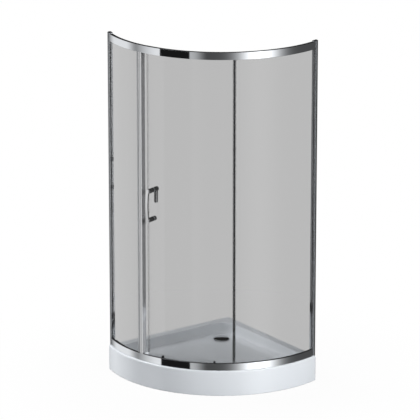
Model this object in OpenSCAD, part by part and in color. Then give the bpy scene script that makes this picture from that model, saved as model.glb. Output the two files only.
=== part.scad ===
// Corner shower enclosure: bowed sliding door, two fixed curved panes and an acrylic tray.
// All sizes are in millimetres. The floor is z = 0 and the room corner is towards +X and +Y.
// Most pieces are drawn about the centre of the bowed front and then moved into place as one.

/* [Plan] */
// Overall width and depth, from either wall to the furthest point of the bow
tray_size = 900; // [870:5:930]
// Distance from each wall to the centre of the bowed front
arc_inset = 200; // [185:5:215]

/* [Tray] */
// Height of the rim above the floor
tray_h = 150; // [140:1:160]
// Thickness of the tray shell
tray_t = 5; // [4:0.5:6]
// Rounding of the top edge of the apron
apron_round = 8; // [4:0.5:10]
// Height of the short skirts against the two walls
skirt_h = 38; // [30:1:46]
// Width of the rim along the two walls
rim_w = 55; // [50:1:62]
// Width of the rim along the bowed front
rim_front = 66; // [64:1:76]
// Depth of the basin below the rim
basin_depth = 52; // [46:1:54]
// How far the basin wall leans in on its way down
basin_lean = 30; // [24:1:36]
// Rounding of the basin in the room corner
basin_corner_r = 100; // [85:5:115]
// Fall of the basin floor towards the drain, in degrees
floor_fall = 0.7; // [0.4:0.1:0.9]

/* [Waste] */
// Distance of the drain from both walls
drain_inset = 185; // [175:1:200]
// Hole in the basin floor
drain_hole_d = 86; // [80:1:88]
// Outside diameter of the clamping flange
flange_d = 96; // [94:1:98]
// Outside diameter of the lift-off cover
cover_d = 98; // [96:1:104]
// Height of the cover above the flange
cover_h = 7; // [5:0.5:10]
// Outside diameter of the trap pot
trap_d = 96; // [94:1:104]
// Depth of the trap pot below the basin floor
trap_h = 72; // [66:1:76]
// Outside diameter of the outlet pipe
pipe_d = 40; // [38:1:42]
// Length of the outlet pipe from the drain centre
pipe_len = 150; // [130:5:165]
// Thickness of the collar that stops the next pipe
pipe_collar = 3; // [2:0.5:4]

/* [Underframe] */
// Width of the steel tube
tube_w = 25; // [20:1:30]
// Height of the steel tube
tube_h = 20; // [16:1:22]
// Distance of the rear feet from the walls
foot_inset = 70; // [66:1:80]
// Distance of the end feet from the ends of the tray along the walls
foot_tip = 160; // [150:5:180]
// Distance of the front foot from the bow
foot_bow_gap = 134; // [120:2:150]
// Distance of the middle foot from the bow centre, along and across
cross_back = 100; // [90:5:110]
// Thread diameter of the levelling feet
foot_rod_d = 10; // [8:1:12]
// Diameter of the foot pads
foot_pad_d = 44; // [36:1:50]
// Height of the foot pads
foot_pad_h = 12; // [8:1:14]
// Width of the foot nuts across the flats
foot_nut_w = 17; // [15:1:20]
// Thickness of the foot nuts
foot_nut_h = 8; // [6:0.5:9]

/* [Frame] */
// How far the rails stand in from the edge of the tray
rail_setback = 10; // [9:0.5:13]
// Height of each rail
rail_h = 42; // [40:0.5:46]
// Wall thickness of the rails
rail_t = 2; // [1.6:0.1:2.2]
// Height from the rim to the top of the top rail
frame_h = 1890; // [1800:10:1950]
// Width of the glazing groove in the rails
groove_w = 12; // [11:0.5:13]
// Depth of a side post, from the wall to its front face
post_depth = 25; // [24:0.5:27]
// Width of a side post and its wall profile
post_w = 25; // [24:0.5:26]
// Wall thickness of the wall profiles
profile_t = 1.5; // [1.2:0.1:1.8]
// Depth of the wall profiles, from the wall
profile_depth = 15; // [14:0.5:16]
// Gap left where a curved seal, strip or block lies against a curved face
curve_gap = 0.1; // [0.05:0.05:0.2]
// Play between a post and its wall profile on each side
slip_gap = 0.2; // [0.1:0.05:0.3]
// Height of the post caps above the post
cap_h = 5; // [4:0.5:7]
// Height of the post above the top rail
post_rise = 1; // [0.5:0.5:2]
// Diameter of the screw holes to the wall
wall_hole_d = 5.5; // [4.5:0.1:6.5]
// Height of the lowest wall screw above the rim
wall_hole_low = 200; // [150:10:250]
// Distance of the highest wall screw below the top of the frame
wall_hole_high = 190; // [150:10:250]
// Distance of the end post screws from the rim and from the top of the frame
post_screw_in = 120; // [90:10:140]

/* [Glass] */
// Thickness of every pane
glass_t = 5; // [4:0.5:6]
// Angle from the wall side of the frame to the free edge of the left pane, in degrees
left_pane_end = 26.5; // [25.9:0.1:26.6]
// Free edge of the right pane, in degrees about the bow centre
right_pane_edge = 239.8; // [239.4:0.1:240.2]
// Depth to which a pane sits in a side post
glass_bite = 8; // [7:0.5:9]
// Thickness of the seal on each side of a pane in a post or jamb
pocket_seal = 1.5; // [1.3:0.1:1.7]

/* [Jamb] */
// Width of the closing jamb along the bow
jamb_w = 20; // [19:0.5:22]
// Depth of the front box of the jamb
jamb_box = 31; // [28:0.5:32]
// Depth to which the left pane sits in the jamb
jamb_bite = 7; // [6:0.5:8]
// Width of the clear seal that runs beside the jamb on the left pane
jamb_seal_w = 18; // [14:1:20]
// Width of the clear leg that carries the magnet
jamb_leg_w = 8; // [7:0.5:9]
// Thickness of each magnet strip
magnet_t = 3; // [2.5:0.1:3.5]
// Gap between the two magnets when the door is shut
magnet_gap = 0.4; // [0.3:0.05:0.6]
// Length of the legs that hold the second magnet on the door
magnet_grip = 10; // [9:0.5:12]

/* [Door] */
// Radial gap between the track lip and the outside of the door glass
door_standoff = 9; // [8.5:0.1:9.5]
// Right edge of the door glass when shut, in degrees about the bow centre
door_right_edge = 241.3; // [241:0.1:241.7]
// Gap from the rim to the bottom of the door glass
door_foot_gap = 5; // [4:0.5:6]
// How far the top of the door glass stays below the top of the top rail
door_head_gap = 8; // [6:0.5:10]
// Travel of the door about the bow centre, in degrees
door_travel = 38; // [36:0.5:38.5]

/* [Rollers] */
// Position of the left roller set, in degrees about the bow centre
left_set_angle = 202; // [201.5:0.1:202.6]
// Position of the right roller set, in degrees about the bow centre
right_set_angle = 230.7; // [230.2:0.1:231.2]
// Distance between the two upper wheels of a set
wheel_pitch = 36; // [34:0.5:40]
// Radius of an upper wheel over its flanges
wheel_r = 12; // [11:0.25:12.5]
// Depth of the groove in a wheel
wheel_groove = 2.6; // [2.2:0.1:2.8]
// Width of a wheel
wheel_w = 8; // [7:0.25:8.5]
// Width of the groove in a wheel
wheel_slot = 4.4; // [4:0.1:4.8]
// Diameter of an upper axle in its wheel
axle_d = 6; // [5:0.25:7]
// Radial play between an axle and its wheel
axle_play = 0.05; // [0.02:0.01:0.09]
// Gap between a wheel and the track
track_gap = 0.35; // [0.3:0.05:0.5]
// Radius of a lower wheel over its flanges
low_wheel_r = 9; // [8.5:0.25:9.5]
// Diameter of a lower axle
low_axle_d = 5; // [4.5:0.25:5.5]
// Diameter of the release plunger
plunger_d = 8; // [7:0.25:8.5]
// Diameter of the release button
button_d = 12; // [11:0.25:13]
// Height of the release button
button_h = 8; // [6:0.5:9]
// Travel of the release button
button_travel = 4; // [3.6:0.1:4.4]

/* [Handle] */
// Position of the handle, in degrees about the bow centre
handle_angle = 197; // [196.6:0.1:198.2]
// Height of the middle of the handle above the floor
handle_z = 1100; // [1000:10:1180]
// Distance between the two handle bolts
handle_pitch = 172; // [150:2:190]
// Distance from the glass to the back of the bow at the bolts
handle_reach = 42; // [36:1:48]
// Width of the bow
handle_w = 16; // [14:0.5:18]
// Thickness of the bow
handle_t = 11; // [9:0.5:12]
// How far the middle of the bow swells out
handle_swell = 8; // [5:0.5:12]
// Diameter of the two outer posts of the handle
handle_post_d = 26; // [20:1:30]
// Diameter of the glass holes for the handle
handle_hole_d = 12; // [10:0.5:14]
// Length of the peg inside the door
peg_len = 84; // [60:1:95]
// Diameter of the peg inside the door
peg_d = 22; // [14:1:24]
// Clear gap between the peg and the glass
peg_gap = 12; // [8:1:20]

/* [Hidden] */
$fn = 96;
eps = 0.01;
big = 4000;

// Plan
shift = tray_size / 2 - arc_inset;
tray_r = tray_size - arc_inset;
rail_r = tray_r - rail_setback;
basin_r = tray_r - rim_front;

// Heights
rail_low_z = tray_h;
rail_low_top = tray_h + rail_h;
frame_top = tray_h + frame_h;
rail_up_z = frame_top - rail_h;
post_top = frame_top + post_rise;

// The radial plane in which a rail meets a side post
leg_hyp = sqrt(rail_r * rail_r + post_depth * post_depth);
leg_angle = 180 - asin(arc_inset / leg_hyp) + atan2(post_depth, rail_r);
right_leg_angle = 450 - leg_angle;

// Radii of the frame, from the outside in
groove_out = rail_r - rail_t;
groove_in = groove_out - groove_w;
groove_wall = groove_in - rail_t;
pane_r = groove_out - groove_w / 2;
lip_out = groove_wall - 16;
lip_in = lip_out - rail_t;
lip_mid = (lip_out + lip_in) / 2;
door_out = lip_in - door_standoff;
door_in = door_out - glass_t;

// Upper track and wheels
track_z = rail_up_z + rail_t;
lip_h = 6;
lip_top = track_z + lip_h;
wheel_z = lip_top + track_gap + wheel_r - wheel_groove;

// Lower track and wheels
low_web_z = rail_low_z + 30;
low_lip_z = low_web_z - 8;
low_wheel_z = low_lip_z - track_gap - low_wheel_r + wheel_groove;

// Panes
pane_low = rail_low_z + 10;
pane_high = frame_top - 10;
jamb_low = rail_low_top;
jamb_high = rail_up_z;
left_pane_edge = leg_angle + left_pane_end;
jamb_mid = left_pane_edge + arc_deg(jamb_w / 2 - jamb_bite, pane_r);
jamb_left = jamb_mid - arc_deg(jamb_w / 2, pane_r);
jamb_right = jamb_mid + arc_deg(jamb_w / 2, pane_r);
jamb_back = rail_r - 1 - jamb_box;
pocket = glass_t + 2 * pocket_seal;

// Angles measured along the door
jamb_face = jamb_mid + asin(jamb_w / 2 / door_out);
magnet_deg = arc_deg(magnet_t * 2 + magnet_gap, door_out);
door_left_edge = jamb_face + magnet_deg;
door_low = tray_h + door_foot_gap;
door_high = frame_top - door_head_gap;
sets = [left_set_angle, right_set_angle];

// Waste
drain_xy = arc_inset - drain_inset;
floor_z = tray_h - basin_depth;
recess_z = floor_z - 3;
under_z = recess_z - tray_t;
seal_t = 2;
pot_top = under_z - seal_t;
pot_low = pot_top - trap_h;
pipe_z = pot_low + 21;
nut_end = trap_d / 2 + 30;
flange_top = recess_z + 2;
flange_screw_r = drain_hole_d / 2 - 6;
flange_screw_d = 5;

// Underframe
beam_top = under_z - 4;
beam_low = beam_top - tube_h;
foot_wall = arc_inset - foot_inset;
foot_far = arc_inset + foot_tip - tray_size;
foot_bow = (foot_bow_gap - (tray_size - arc_inset)) / sqrt(2);
cross_mid = -cross_back;
cross_end = foot_wall - 8;
feet = [[foot_far, foot_wall], [foot_wall, foot_far], [foot_wall, foot_wall],
    [foot_bow, foot_bow], [cross_mid, cross_mid]];

// Angle of a length measured along a circle of radius r
function arc_deg(len, r) = len / r * 180 / PI;

// Moves a piece drawn about the bow centre into the shared frame
module placed() { translate([shift, shift, 0]) children(); }

// Puts a piece at an angle on the bow: local X points outwards, local Z up
module at_arc(a, r, z) { rotate([0, 0, a]) translate([r, 0, z]) children(); }

// A curved bar of rectangular section
module ring(r0, r1, z0, z1, a0, a1) {
    rotate([0, 0, a0])
        rotate_extrude(angle = a1 - a0)
            translate([r0, z0]) square([r1 - r0, z1 - z0]);
}

// A cylinder along local X
module along_x(d, x0, x1) { translate([x0, 0, 0]) rotate([0, 90, 0]) cylinder(d = d, h = x1 - x0); }

// A cylinder along local Y
module along_y(d, y0, y1) { translate([0, y1, 0]) rotate([90, 0, 0]) cylinder(d = d, h = y1 - y0); }

// The same piece on the other wall
module other_leg() { mirror([1, -1, 0]) children(); }

// Everything in front of both walls
module room(z0, z1) { translate([arc_inset - big, arc_inset - big, z0]) cube([big, big, z1 - z0]); }

// Tray
module basin_outline(e) {
    round_in = 40;
    corner = arc_inset - rim_w - e;
    r_c = basin_corner_r - e;
    offset(r = round_in) offset(delta = -round_in)
        intersection() {
            circle(r = basin_r - e);
            union() {
                translate([-big, -big]) square([big + corner - r_c, big + corner]);
                translate([-big, -big]) square([big + corner, big + corner - r_c]);
                translate([corner - r_c, corner - r_c]) circle(r = r_c);
            }
        }
}

module basin_slab(z, e) { translate([0, 0, z]) linear_extrude(height = 0.02) basin_outline(e); }

module basin(grow) {
    hull() {
        basin_slab(tray_h + (grow > 0 ? -tray_t : 1), -grow);
        basin_slab(floor_z + 14 - grow, basin_lean * 0.42 - grow);
        basin_slab(floor_z + 4 - grow, basin_lean * 0.7 - grow);
        translate([0, 0, floor_z - grow]) rotate([-floor_fall, floor_fall, 0])
            basin_slab(0, basin_lean - grow);
    }
}

module shower_tray() {
    placed() color([0.93, 0.94, 0.95]) difference() {
        union() {
            difference() {
                intersection() {
                    rotate_extrude() {
                        square([tray_r - apron_round, tray_h]);
                        square([tray_r, tray_h - apron_round]);
                        translate([tray_r - apron_round, tray_h - apron_round]) circle(r = apron_round);
                    }
                    room(0, tray_h);
                }
                intersection() {
                    translate([0, 0, -1]) cylinder(r = tray_r - tray_t, h = tray_h - tray_t + 1);
                    translate([-tray_t, -tray_t, 0]) room(-1, tray_h);
                }
                // The two wall sides stay open below their skirts
                translate([-tray_r * 0.9, arc_inset - tray_t - 1, -1])
                    cube([tray_r * 0.9 + arc_inset - 60, tray_t + 2, tray_h - skirt_h + 1]);
                translate([arc_inset - tray_t - 1, -tray_r * 0.9, -1])
                    cube([tray_t + 2, tray_r * 0.9 + arc_inset - 60, tray_h - skirt_h + 1]);
            }
            basin(tray_t);
            translate([drain_xy, drain_xy, under_z]) cylinder(d = cover_d + 20, h = tray_t + 2);
            for (p = feet) translate([p[0], p[1], beam_top]) cylinder(d = 50, h = tray_h - tray_t - beam_top);
        }
        basin(0);
        translate([drain_xy, drain_xy, 0]) cylinder(d = drain_hole_d, h = tray_h);
        translate([drain_xy, drain_xy, recess_z]) cylinder(d = cover_d + 8, h = basin_depth);
    }
}

// Underframe
module beam_plan(p, q, w) {
    len = norm([q[0] - p[0], q[1] - p[1]]);
    translate(p) rotate([0, 0, atan2(q[1] - p[1], q[0] - p[0])])
        translate([-w / 2, -w / 2]) square([len + w, w]);
}

module beams(w, z0, z1) {
    translate([0, 0, z0]) linear_extrude(height = z1 - z0) {
        beam_plan(feet[0], feet[2], w);
        beam_plan(feet[2], feet[1], w);
        // The tubes that butt against another one end inside it
        beam_plan([2 * cross_mid - cross_end, cross_end], [cross_end, 2 * cross_mid - cross_end], w);
        beam_plan([cross_mid - 5, cross_mid - 5], feet[3], w);
    }
}

module tray_frame() {
    placed() color([0.55, 0.57, 0.6]) difference() {
        beams(tube_w, beam_low, beam_top);
        beams(tube_w - 4, beam_low + 2, beam_top - 2);
        for (p = feet) translate([p[0], p[1], beam_low - 1]) cylinder(d = foot_rod_d, h = 4);
    }
}

module foot_rods() {
    placed() color([0.72, 0.73, 0.74]) for (p = feet)
        translate([p[0], p[1], foot_pad_h - 5]) cylinder(d = foot_rod_d, h = beam_top - 4 - foot_pad_h + 5);
}

module foot_nuts() {
    placed() color([0.68, 0.69, 0.7]) for (p = feet) for (z = [foot_pad_h, beam_low - foot_nut_h])
        translate([p[0], p[1], z]) difference() {
            cylinder(d = foot_nut_w / cos(30), h = foot_nut_h, $fn = 6);
            translate([0, 0, -1]) cylinder(d = foot_rod_d, h = foot_nut_h + 2);
        }
}

module foot_pads() {
    placed() color([0.13, 0.13, 0.14]) for (p = feet)
        translate([p[0], p[1], 0]) difference() {
            cylinder(d1 = foot_pad_d, d2 = foot_pad_d * 0.6, h = foot_pad_h);
            translate([0, 0, foot_pad_h - 5]) cylinder(d = foot_rod_d, h = 6);
        }
}

// Waste
module at_drain() { placed() translate([drain_xy, drain_xy, 0]) children(); }

module waste_body() {
    at_drain() color([0.9, 0.9, 0.88]) difference() {
        union() {
            translate([0, 0, pot_top - 4]) cylinder(d = cover_d + 12, h = 4);
            translate([0, 0, pot_low]) cylinder(d = trap_d, h = trap_h);
            translate([0, 0, pipe_z]) along_y(pipe_d + 8, 0, trap_d / 2 + 22);
        }
        difference() {
            translate([0, 0, pot_low + 3]) cylinder(d = trap_d - 6, h = trap_h);
            for (a = [60 : 120 : 300]) rotate([0, 0, a]) translate([flange_screw_r, 0, pot_low + 40]) {
                cylinder(d = 9, h = trap_h);
                translate([0, -3, 0]) cube([trap_d / 2 - flange_screw_r, 6, trap_h]);
            }
        }
        for (a = [60 : 120 : 300]) rotate([0, 0, a]) translate([flange_screw_r, 0, pot_top - 20])
            cylinder(d = flange_screw_d, h = 30);
        translate([0, 0, pipe_z]) along_y(pipe_d - 4, 0, nut_end);
        translate([0, 0, pipe_z]) along_y(pipe_d, trap_d / 2 + 4, nut_end);
    }
}

module waste_seal() {
    at_drain() color([0.1, 0.1, 0.1]) translate([0, 0, pot_top]) difference() {
        cylinder(d = cover_d + 12, h = seal_t);
        translate([0, 0, -1]) cylinder(d = drain_hole_d, h = seal_t + 2);
    }
}

module waste_flange() {
    at_drain() color([0.78, 0.79, 0.8]) difference() {
        union() {
            translate([0, 0, recess_z]) cylinder(d = flange_d, h = 2);
            translate([0, 0, pot_top]) difference() {
                cylinder(d = drain_hole_d - 2, h = recess_z - pot_top);
                translate([0, 0, -1]) cylinder(d = drain_hole_d - 5, h = recess_z - pot_top + 1);
            }
        }
        translate([0, 0, recess_z - 1]) cylinder(d = 56, h = 4);
        for (a = [60 : 120 : 300]) rotate([0, 0, a]) translate([flange_screw_r, 0, recess_z - 1])
            cylinder(d = flange_screw_d, h = 4);
    }
}

module waste_flange_screws() {
    at_drain() color([0.7, 0.71, 0.72]) for (a = [60 : 120 : 300]) rotate([0, 0, a])
        translate([flange_screw_r, 0, 0]) {
        translate([0, 0, pot_top - 16]) cylinder(d = flange_screw_d, h = flange_top - pot_top + 16);
        translate([0, 0, flange_top]) cylinder(d = 8, h = 1.6);
    }
}

module waste_cup() {
    at_drain() color([0.85, 0.86, 0.88]) difference() {
        union() {
            translate([0, 0, flange_top]) cylinder(d = 62, h = 1.6);
            translate([0, 0, pot_low + 12]) cylinder(d = 56, h = flange_top - pot_low - 12);
        }
        translate([0, 0, pot_low + 11]) cylinder(d = 53, h = flange_top - pot_low);
    }
}

module waste_outlet_nut() {
    at_drain() color([0.88, 0.88, 0.86]) translate([0, 0, pipe_z]) difference() {
        along_y(pipe_d + 16, trap_d / 2 + 6, nut_end);
        along_y(pipe_d + 8, trap_d / 2 + 5, trap_d / 2 + 22);
        along_y(pipe_d, trap_d / 2 + 20, nut_end + 1);
    }
}

module waste_outlet_pipe() {
    at_drain() color([0.62, 0.64, 0.66]) translate([0, 0, pipe_z]) difference() {
        union() {
            along_y(pipe_d, trap_d / 2 + 4, pipe_len);
            along_y(pipe_d + 5, nut_end + curve_gap, nut_end + curve_gap + pipe_collar);
        }
        along_y(pipe_d - 4, trap_d / 2, pipe_len + 1);
    }
}

module waste_cover() {
    low = flange_top + 0.35;
    at_drain() color([0.25, 0.26, 0.27]) {
        translate([0, 0, low + 3]) difference() {
            cylinder(d1 = cover_d, d2 = cover_d - 10, h = cover_h - 3);
            translate([0, 0, -eps]) cylinder(d1 = cover_d - 4, d2 = cover_d - 14, h = cover_h - 5);
        }
        for (a = [0 : 120 : 240]) rotate([0, 0, a]) translate([cover_d / 2 - 8, 0, low])
            cylinder(d = 4, h = cover_h - 1);
    }
}

// Side posts and wall profiles, drawn for the left wall
module leg_frame() { rotate([0, 0, leg_angle]) children(); }

module screw_heights(from, to) {
    for (i = [0 : 2]) translate([0, 0, from + (to - from) * i / 2]) children();
}

module wall_profile() {
    x0 = rail_r - post_w;
    y1 = profile_depth - post_depth;
    difference() {
        intersection() {
            leg_frame() translate([x0, -60, tray_h]) cube([post_w, 60 + y1, post_top - tray_h]);
            room(tray_h, post_top);
        }
        intersection() {
            leg_frame() translate([x0 + profile_t, -60, 0])
                cube([post_w - 2 * profile_t, 70, post_top + 1]);
            translate([0, -profile_t, 0]) room(0, post_top + 1);
        }
        wall_holes() along_y(wall_hole_d, arc_inset - 10, arc_inset + 10);
        post_screw_places() along_x(3.5, -10, 10);
    }
}

module wall_holes() {
    x = -sqrt(pow(rail_r - post_w / 2, 2) - arc_inset * arc_inset);
    translate([x, 0, 0]) screw_heights(tray_h + wall_hole_low, frame_top - wall_hole_high) children();
}

module post_screw_places() {
    leg_frame() translate([rail_r - post_w, profile_depth - post_depth - 3.5, 0])
        screw_heights(tray_h + post_screw_in, frame_top - post_screw_in) children();
}

module side_post() {
    x0 = rail_r - post_w + profile_t + slip_gap;
    x1 = rail_r - profile_t - slip_gap;
    difference() {
        leg_frame() translate([0, 0, tray_h]) linear_extrude(height = post_top - tray_h) difference() {
            translate([x0, 8 - post_depth]) square([x1 - x0, post_depth - 8]);
            translate([x0 + 1.5, 9.5 - post_depth])
                square([pane_r - pocket / 2 - x0 - 3, post_depth - 11]);
            translate([pane_r - pocket / 2, -glass_bite - 2]) square([pocket, glass_bite + 3]);
        }
        post_screw_places() along_x(3.5, -1, 10);
        corner_screw_places() along_y(3.5, -20, 5);
    }
}

module post_cap() {
    w = post_w + 1;
    round_r = (w * w / 4 + cap_h * cap_h) / (2 * cap_h);
    intersection() {
        leg_frame() translate([rail_r - post_w / 2, 0, post_top + cap_h - round_r])
            along_y(2 * round_r, -60, 0.5);
        room(post_top, post_top + cap_h);
    }
}

module post_screw_set() {
    post_screw_places() {
        along_x(3.5, -0.5, 7);
        along_x(7, -2, 0);
    }
}

module corner_screw_places() {
    leg_frame() for (z = [tray_h + 11, track_z + 13]) translate([rail_r - post_w + 6, 0, z]) children();
}

module corner_screw_set() {
    corner_screw_places() along_y(3.5, -14, 10);
}

module corner_block_set() {
    difference() {
        union() {
            ring(lip_out + 4, groove_wall - curve_gap, tray_h, low_lip_z, leg_angle, leg_angle + 1.3);
            ring(lip_out + curve_gap, groove_wall - curve_gap, track_z, track_z + 26,
                leg_angle, leg_angle + 1.3);
        }
        corner_screw_places() along_y(3.5, -1, 10);
    }
}

module wall_profile_left() { placed() color([0.8, 0.81, 0.83]) wall_profile(); }
module wall_profile_right() { placed() color([0.8, 0.81, 0.83]) other_leg() wall_profile(); }
module side_post_left() { placed() color([0.82, 0.83, 0.85]) side_post(); }
module side_post_right() { placed() color([0.82, 0.83, 0.85]) other_leg() side_post(); }
module post_cap_left() { placed() color([0.2, 0.21, 0.22]) post_cap(); }
module post_cap_right() { placed() color([0.2, 0.21, 0.22]) other_leg() post_cap(); }

module post_screws() {
    placed() color([0.75, 0.76, 0.78]) {
        post_screw_set();
        other_leg() post_screw_set();
    }
}

module corner_blocks() {
    placed() color([0.3, 0.3, 0.32]) {
        corner_block_set();
        other_leg() corner_block_set();
    }
}

module corner_screws() {
    placed() color([0.75, 0.76, 0.78]) {
        corner_screw_set();
        other_leg() corner_screw_set();
    }
}

// Rails
module rail(r0, r1, z0, z1) { ring(r0, r1, z0, z1, leg_angle, right_leg_angle); }

module top_rail() {
    placed() color([0.82, 0.83, 0.85]) {
        rail(groove_out, rail_r, rail_up_z, frame_top);
        rail(groove_wall - 5, rail_r, frame_top - rail_t, frame_top);
        rail(groove_wall, groove_in, rail_up_z, frame_top);
        rail(lip_in, groove_in, rail_up_z, track_z);
        rail(lip_in, lip_out, rail_up_z, lip_top);
    }
}

module bottom_rail() {
    placed() color([0.82, 0.83, 0.85]) {
        rail(groove_out, rail_r, rail_low_z, rail_low_top);
        rail(groove_wall, rail_r, rail_low_z, rail_low_z + rail_t);
        rail(groove_wall, groove_in, rail_low_z, rail_low_top);
        rail(lip_in, groove_in, low_web_z - rail_t, low_web_z);
        rail(lip_in, lip_out, low_lip_z, low_web_z);
    }
}

module groove_strips() {
    placed() color([0.16, 0.17, 0.18]) {
        for (z = [rail_low_top - 3, rail_up_z])
            ring(groove_in + curve_gap, groove_out - curve_gap, z, z + 3,
                jamb_right + 0.1, right_pane_edge - 0.3);
    }
}

// Fixed panes
module fixed_glass_left() {
    a0 = leg_angle - arc_deg(glass_bite, pane_r);
    placed() color([0.55, 0.58, 0.6, 0.5])
        ring(pane_r - glass_t / 2, pane_r + glass_t / 2, pane_low, pane_high, a0, left_pane_edge);
}

module fixed_glass_right() {
    a1 = right_leg_angle + arc_deg(glass_bite, pane_r);
    placed() color([0.55, 0.58, 0.6, 0.5])
        ring(pane_r - glass_t / 2, pane_r + glass_t / 2, pane_low, pane_high, right_pane_edge, a1);
}

module setting_blocks() {
    placed() color([0.2, 0.2, 0.2])
        for (a = [leg_angle + 4, jamb_left - 5, right_pane_edge + 6, right_leg_angle - 6])
            ring(pane_r - 4, pane_r + 4, rail_low_z + rail_t + curve_gap, pane_low - curve_gap, a, a + 1.5);
}

module gasket_pair(z0, z1, a0, a1) {
    ring(pane_r + glass_t / 2 + curve_gap, groove_out - curve_gap, z0, z1, a0, a1);
    ring(groove_in + curve_gap, pane_r - glass_t / 2 - curve_gap, z0, z1, a0, a1);
}

module glazing_gaskets(z0, z1) {
    gasket_pair(z0, z1, leg_angle + 0.1, jamb_left - 0.1);
    gasket_pair(z0, z1, right_pane_edge + 1.2, right_leg_angle - 0.1);
}

module glazing_gaskets_top() {
    placed() color([0.1, 0.1, 0.11]) glazing_gaskets(rail_up_z - 1, rail_up_z + 12);
}

module glazing_gaskets_bottom() {
    placed() color([0.1, 0.1, 0.11]) glazing_gaskets(rail_low_top - 12, rail_low_top + 1);
}

module post_gasket_set() {
    leg_frame() for (x = [pane_r - pocket / 2, pane_r + glass_t / 2 + 0.1])
        translate([x, -glass_bite, rail_low_top + 2])
            cube([pocket_seal - 0.1, glass_bite + 1, rail_up_z - rail_low_top - 4]);
}

module post_gaskets() {
    placed() color([0.6, 0.61, 0.63, 0.7]) {
        post_gasket_set();
        other_leg() post_gasket_set();
    }
}

// Closing jamb on the left pane
module jamb_frame() { rotate([0, 0, jamb_mid]) translate([0, 0, jamb_low]) children(); }

module closing_jamb() {
    placed() color([0.82, 0.83, 0.85]) jamb_frame() linear_extrude(height = jamb_high - jamb_low)
        difference() {
            translate([jamb_back, -jamb_w / 2]) square([jamb_box, jamb_w]);
            translate([pane_r - pocket / 2, -jamb_w / 2 - 1]) square([pocket, jamb_bite + 2]);
        }
}

module jamb_gasket() {
    a0 = jamb_left - arc_deg(jamb_seal_w, pane_r);
    placed() color([0.5, 0.52, 0.54, 0.7]) for (r = [pane_r - glass_t / 2 - 1.2, pane_r + glass_t / 2 + curve_gap])
        ring(r, r + 1.2 - curve_gap, jamb_low + 1.5, jamb_high - 1.5, a0, left_pane_edge - 0.02);
}

// Clear carrier behind the jamb with the magnet strip along its side
module jamb_magnet() {
    x_in = door_in - 1;
    placed() color([0.6, 0.61, 0.63, 0.6]) jamb_frame() linear_extrude(height = jamb_high - jamb_low)
        union() {
            translate([x_in, jamb_w / 2 - jamb_leg_w]) square([jamb_back - x_in, jamb_leg_w]);
            translate([x_in, jamb_w / 2 - 1]) square([glass_t + 5, magnet_t + 1]);
        }
}

// Seal on the free edge of the right pane, with a fin that reaches the door
module right_pane_seal() {
    grip = arc_deg(12, pane_r);
    edge = arc_deg(1.2, pane_r);
    placed() color([0.22, 0.23, 0.24]) {
        difference() {
            ring(pane_r - glass_t / 2 - 1.1, pane_r + glass_t / 2 + 1.1, jamb_low, jamb_high,
                right_pane_edge - edge, right_pane_edge + grip);
            ring(pane_r - glass_t / 2 - curve_gap, pane_r + glass_t / 2 + curve_gap, 0, big,
                right_pane_edge, right_pane_edge + 5);
        }
        ring(door_out + 0.4, pane_r - glass_t / 2, jamb_low, jamb_high,
            right_pane_edge - edge, right_pane_edge);
    }
}

module stop_block(a) {
    ring(lip_out + curve_gap, groove_wall - curve_gap, track_z, wheel_z + 10, a, a + 1.2);
    ring(lip_mid - wheel_w / 2, lip_out + 1, lip_top + curve_gap, wheel_z + 10, a, a + 1.2);
}

module door_stops() {
    side = asin((wheel_pitch / 2 + wheel_r + 0.5) / lip_mid);
    placed() color([0.12, 0.12, 0.13]) {
        stop_block(left_set_angle - side - 1.2);
        stop_block(right_set_angle + side + door_travel);
    }
}

// Door
module door_glass() {
    placed() color([0.55, 0.58, 0.6, 0.5]) difference() {
        ring(door_in, door_out, door_low, door_high, door_left_edge, door_right_edge);
        for (a = sets) rotate([0, 0, a]) {
            for (y = [-1, 1]) translate([0, y * wheel_pitch / 2, wheel_z]) along_x(14, door_in - 9, door_out + 9);
            translate([door_in - 9, -5, tray_h]) cube([22, 10, low_wheel_z + 5 - tray_h]);
            for (y = [-17, 17]) translate([0, y, low_wheel_z]) along_x(4, door_in - 9, door_out + 9);
        }
        for (z = [-1, 1]) rotate([0, 0, handle_angle]) translate([0, 0, handle_z + z * handle_pitch / 2])
            along_x(handle_hole_d, door_in - 9, door_out + 9);
    }
}

module door_magnet() {
    grip_angle = door_left_edge + arc_deg(magnet_grip / 2 - 1, door_out);
    placed() color([0.6, 0.61, 0.63, 0.6]) translate([0, 0, jamb_low + 1])
        linear_extrude(height = jamb_high - jamb_low - 2) {
            rotate(jamb_mid) translate([door_in - 1.6, jamb_w / 2 + magnet_t + magnet_gap])
                square([glass_t + 3.2, magnet_t - 0.25]);
            for (x = [door_in - 1.2, door_out + curve_gap])
                rotate(grip_angle) translate([x, -magnet_grip / 2]) square([1.2 - curve_gap, magnet_grip]);
        }
}

module door_rear_seal() {
    edge = arc_deg(1.2, door_out);
    z0 = jamb_low + 1;
    z1 = jamb_high - 1;
    placed() color([0.22, 0.23, 0.24]) {
        for (r = [door_in - 1.1, door_out + curve_gap])
            ring(r, r + 1.1 - curve_gap, z0, z1, door_right_edge - 0.9, door_right_edge + edge / 2);
        ring(door_in - 1.1, pane_r - glass_t / 2 - 0.5, z0, z1, door_right_edge, door_right_edge + edge);
    }
}

// Upper rollers
module hanger_plates() {
    placed() color([0.78, 0.79, 0.81]) for (a = sets) difference() {
        ring(door_in - 6, door_in - curve_gap, wheel_z - 13, wheel_z + 12, a - 2.8, a + 2.8);
        rotate([0, 0, a]) for (y = [-1, 1]) translate([0, y * wheel_pitch / 2, wheel_z])
            along_x(axle_d + 2 * axle_play, door_in - 20, door_in + 1);
    }
}

module at_axles() {
    for (a = sets) rotate([0, 0, a]) for (y = [-1, 1]) translate([0, y * wheel_pitch / 2, wheel_z]) children();
}

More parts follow.
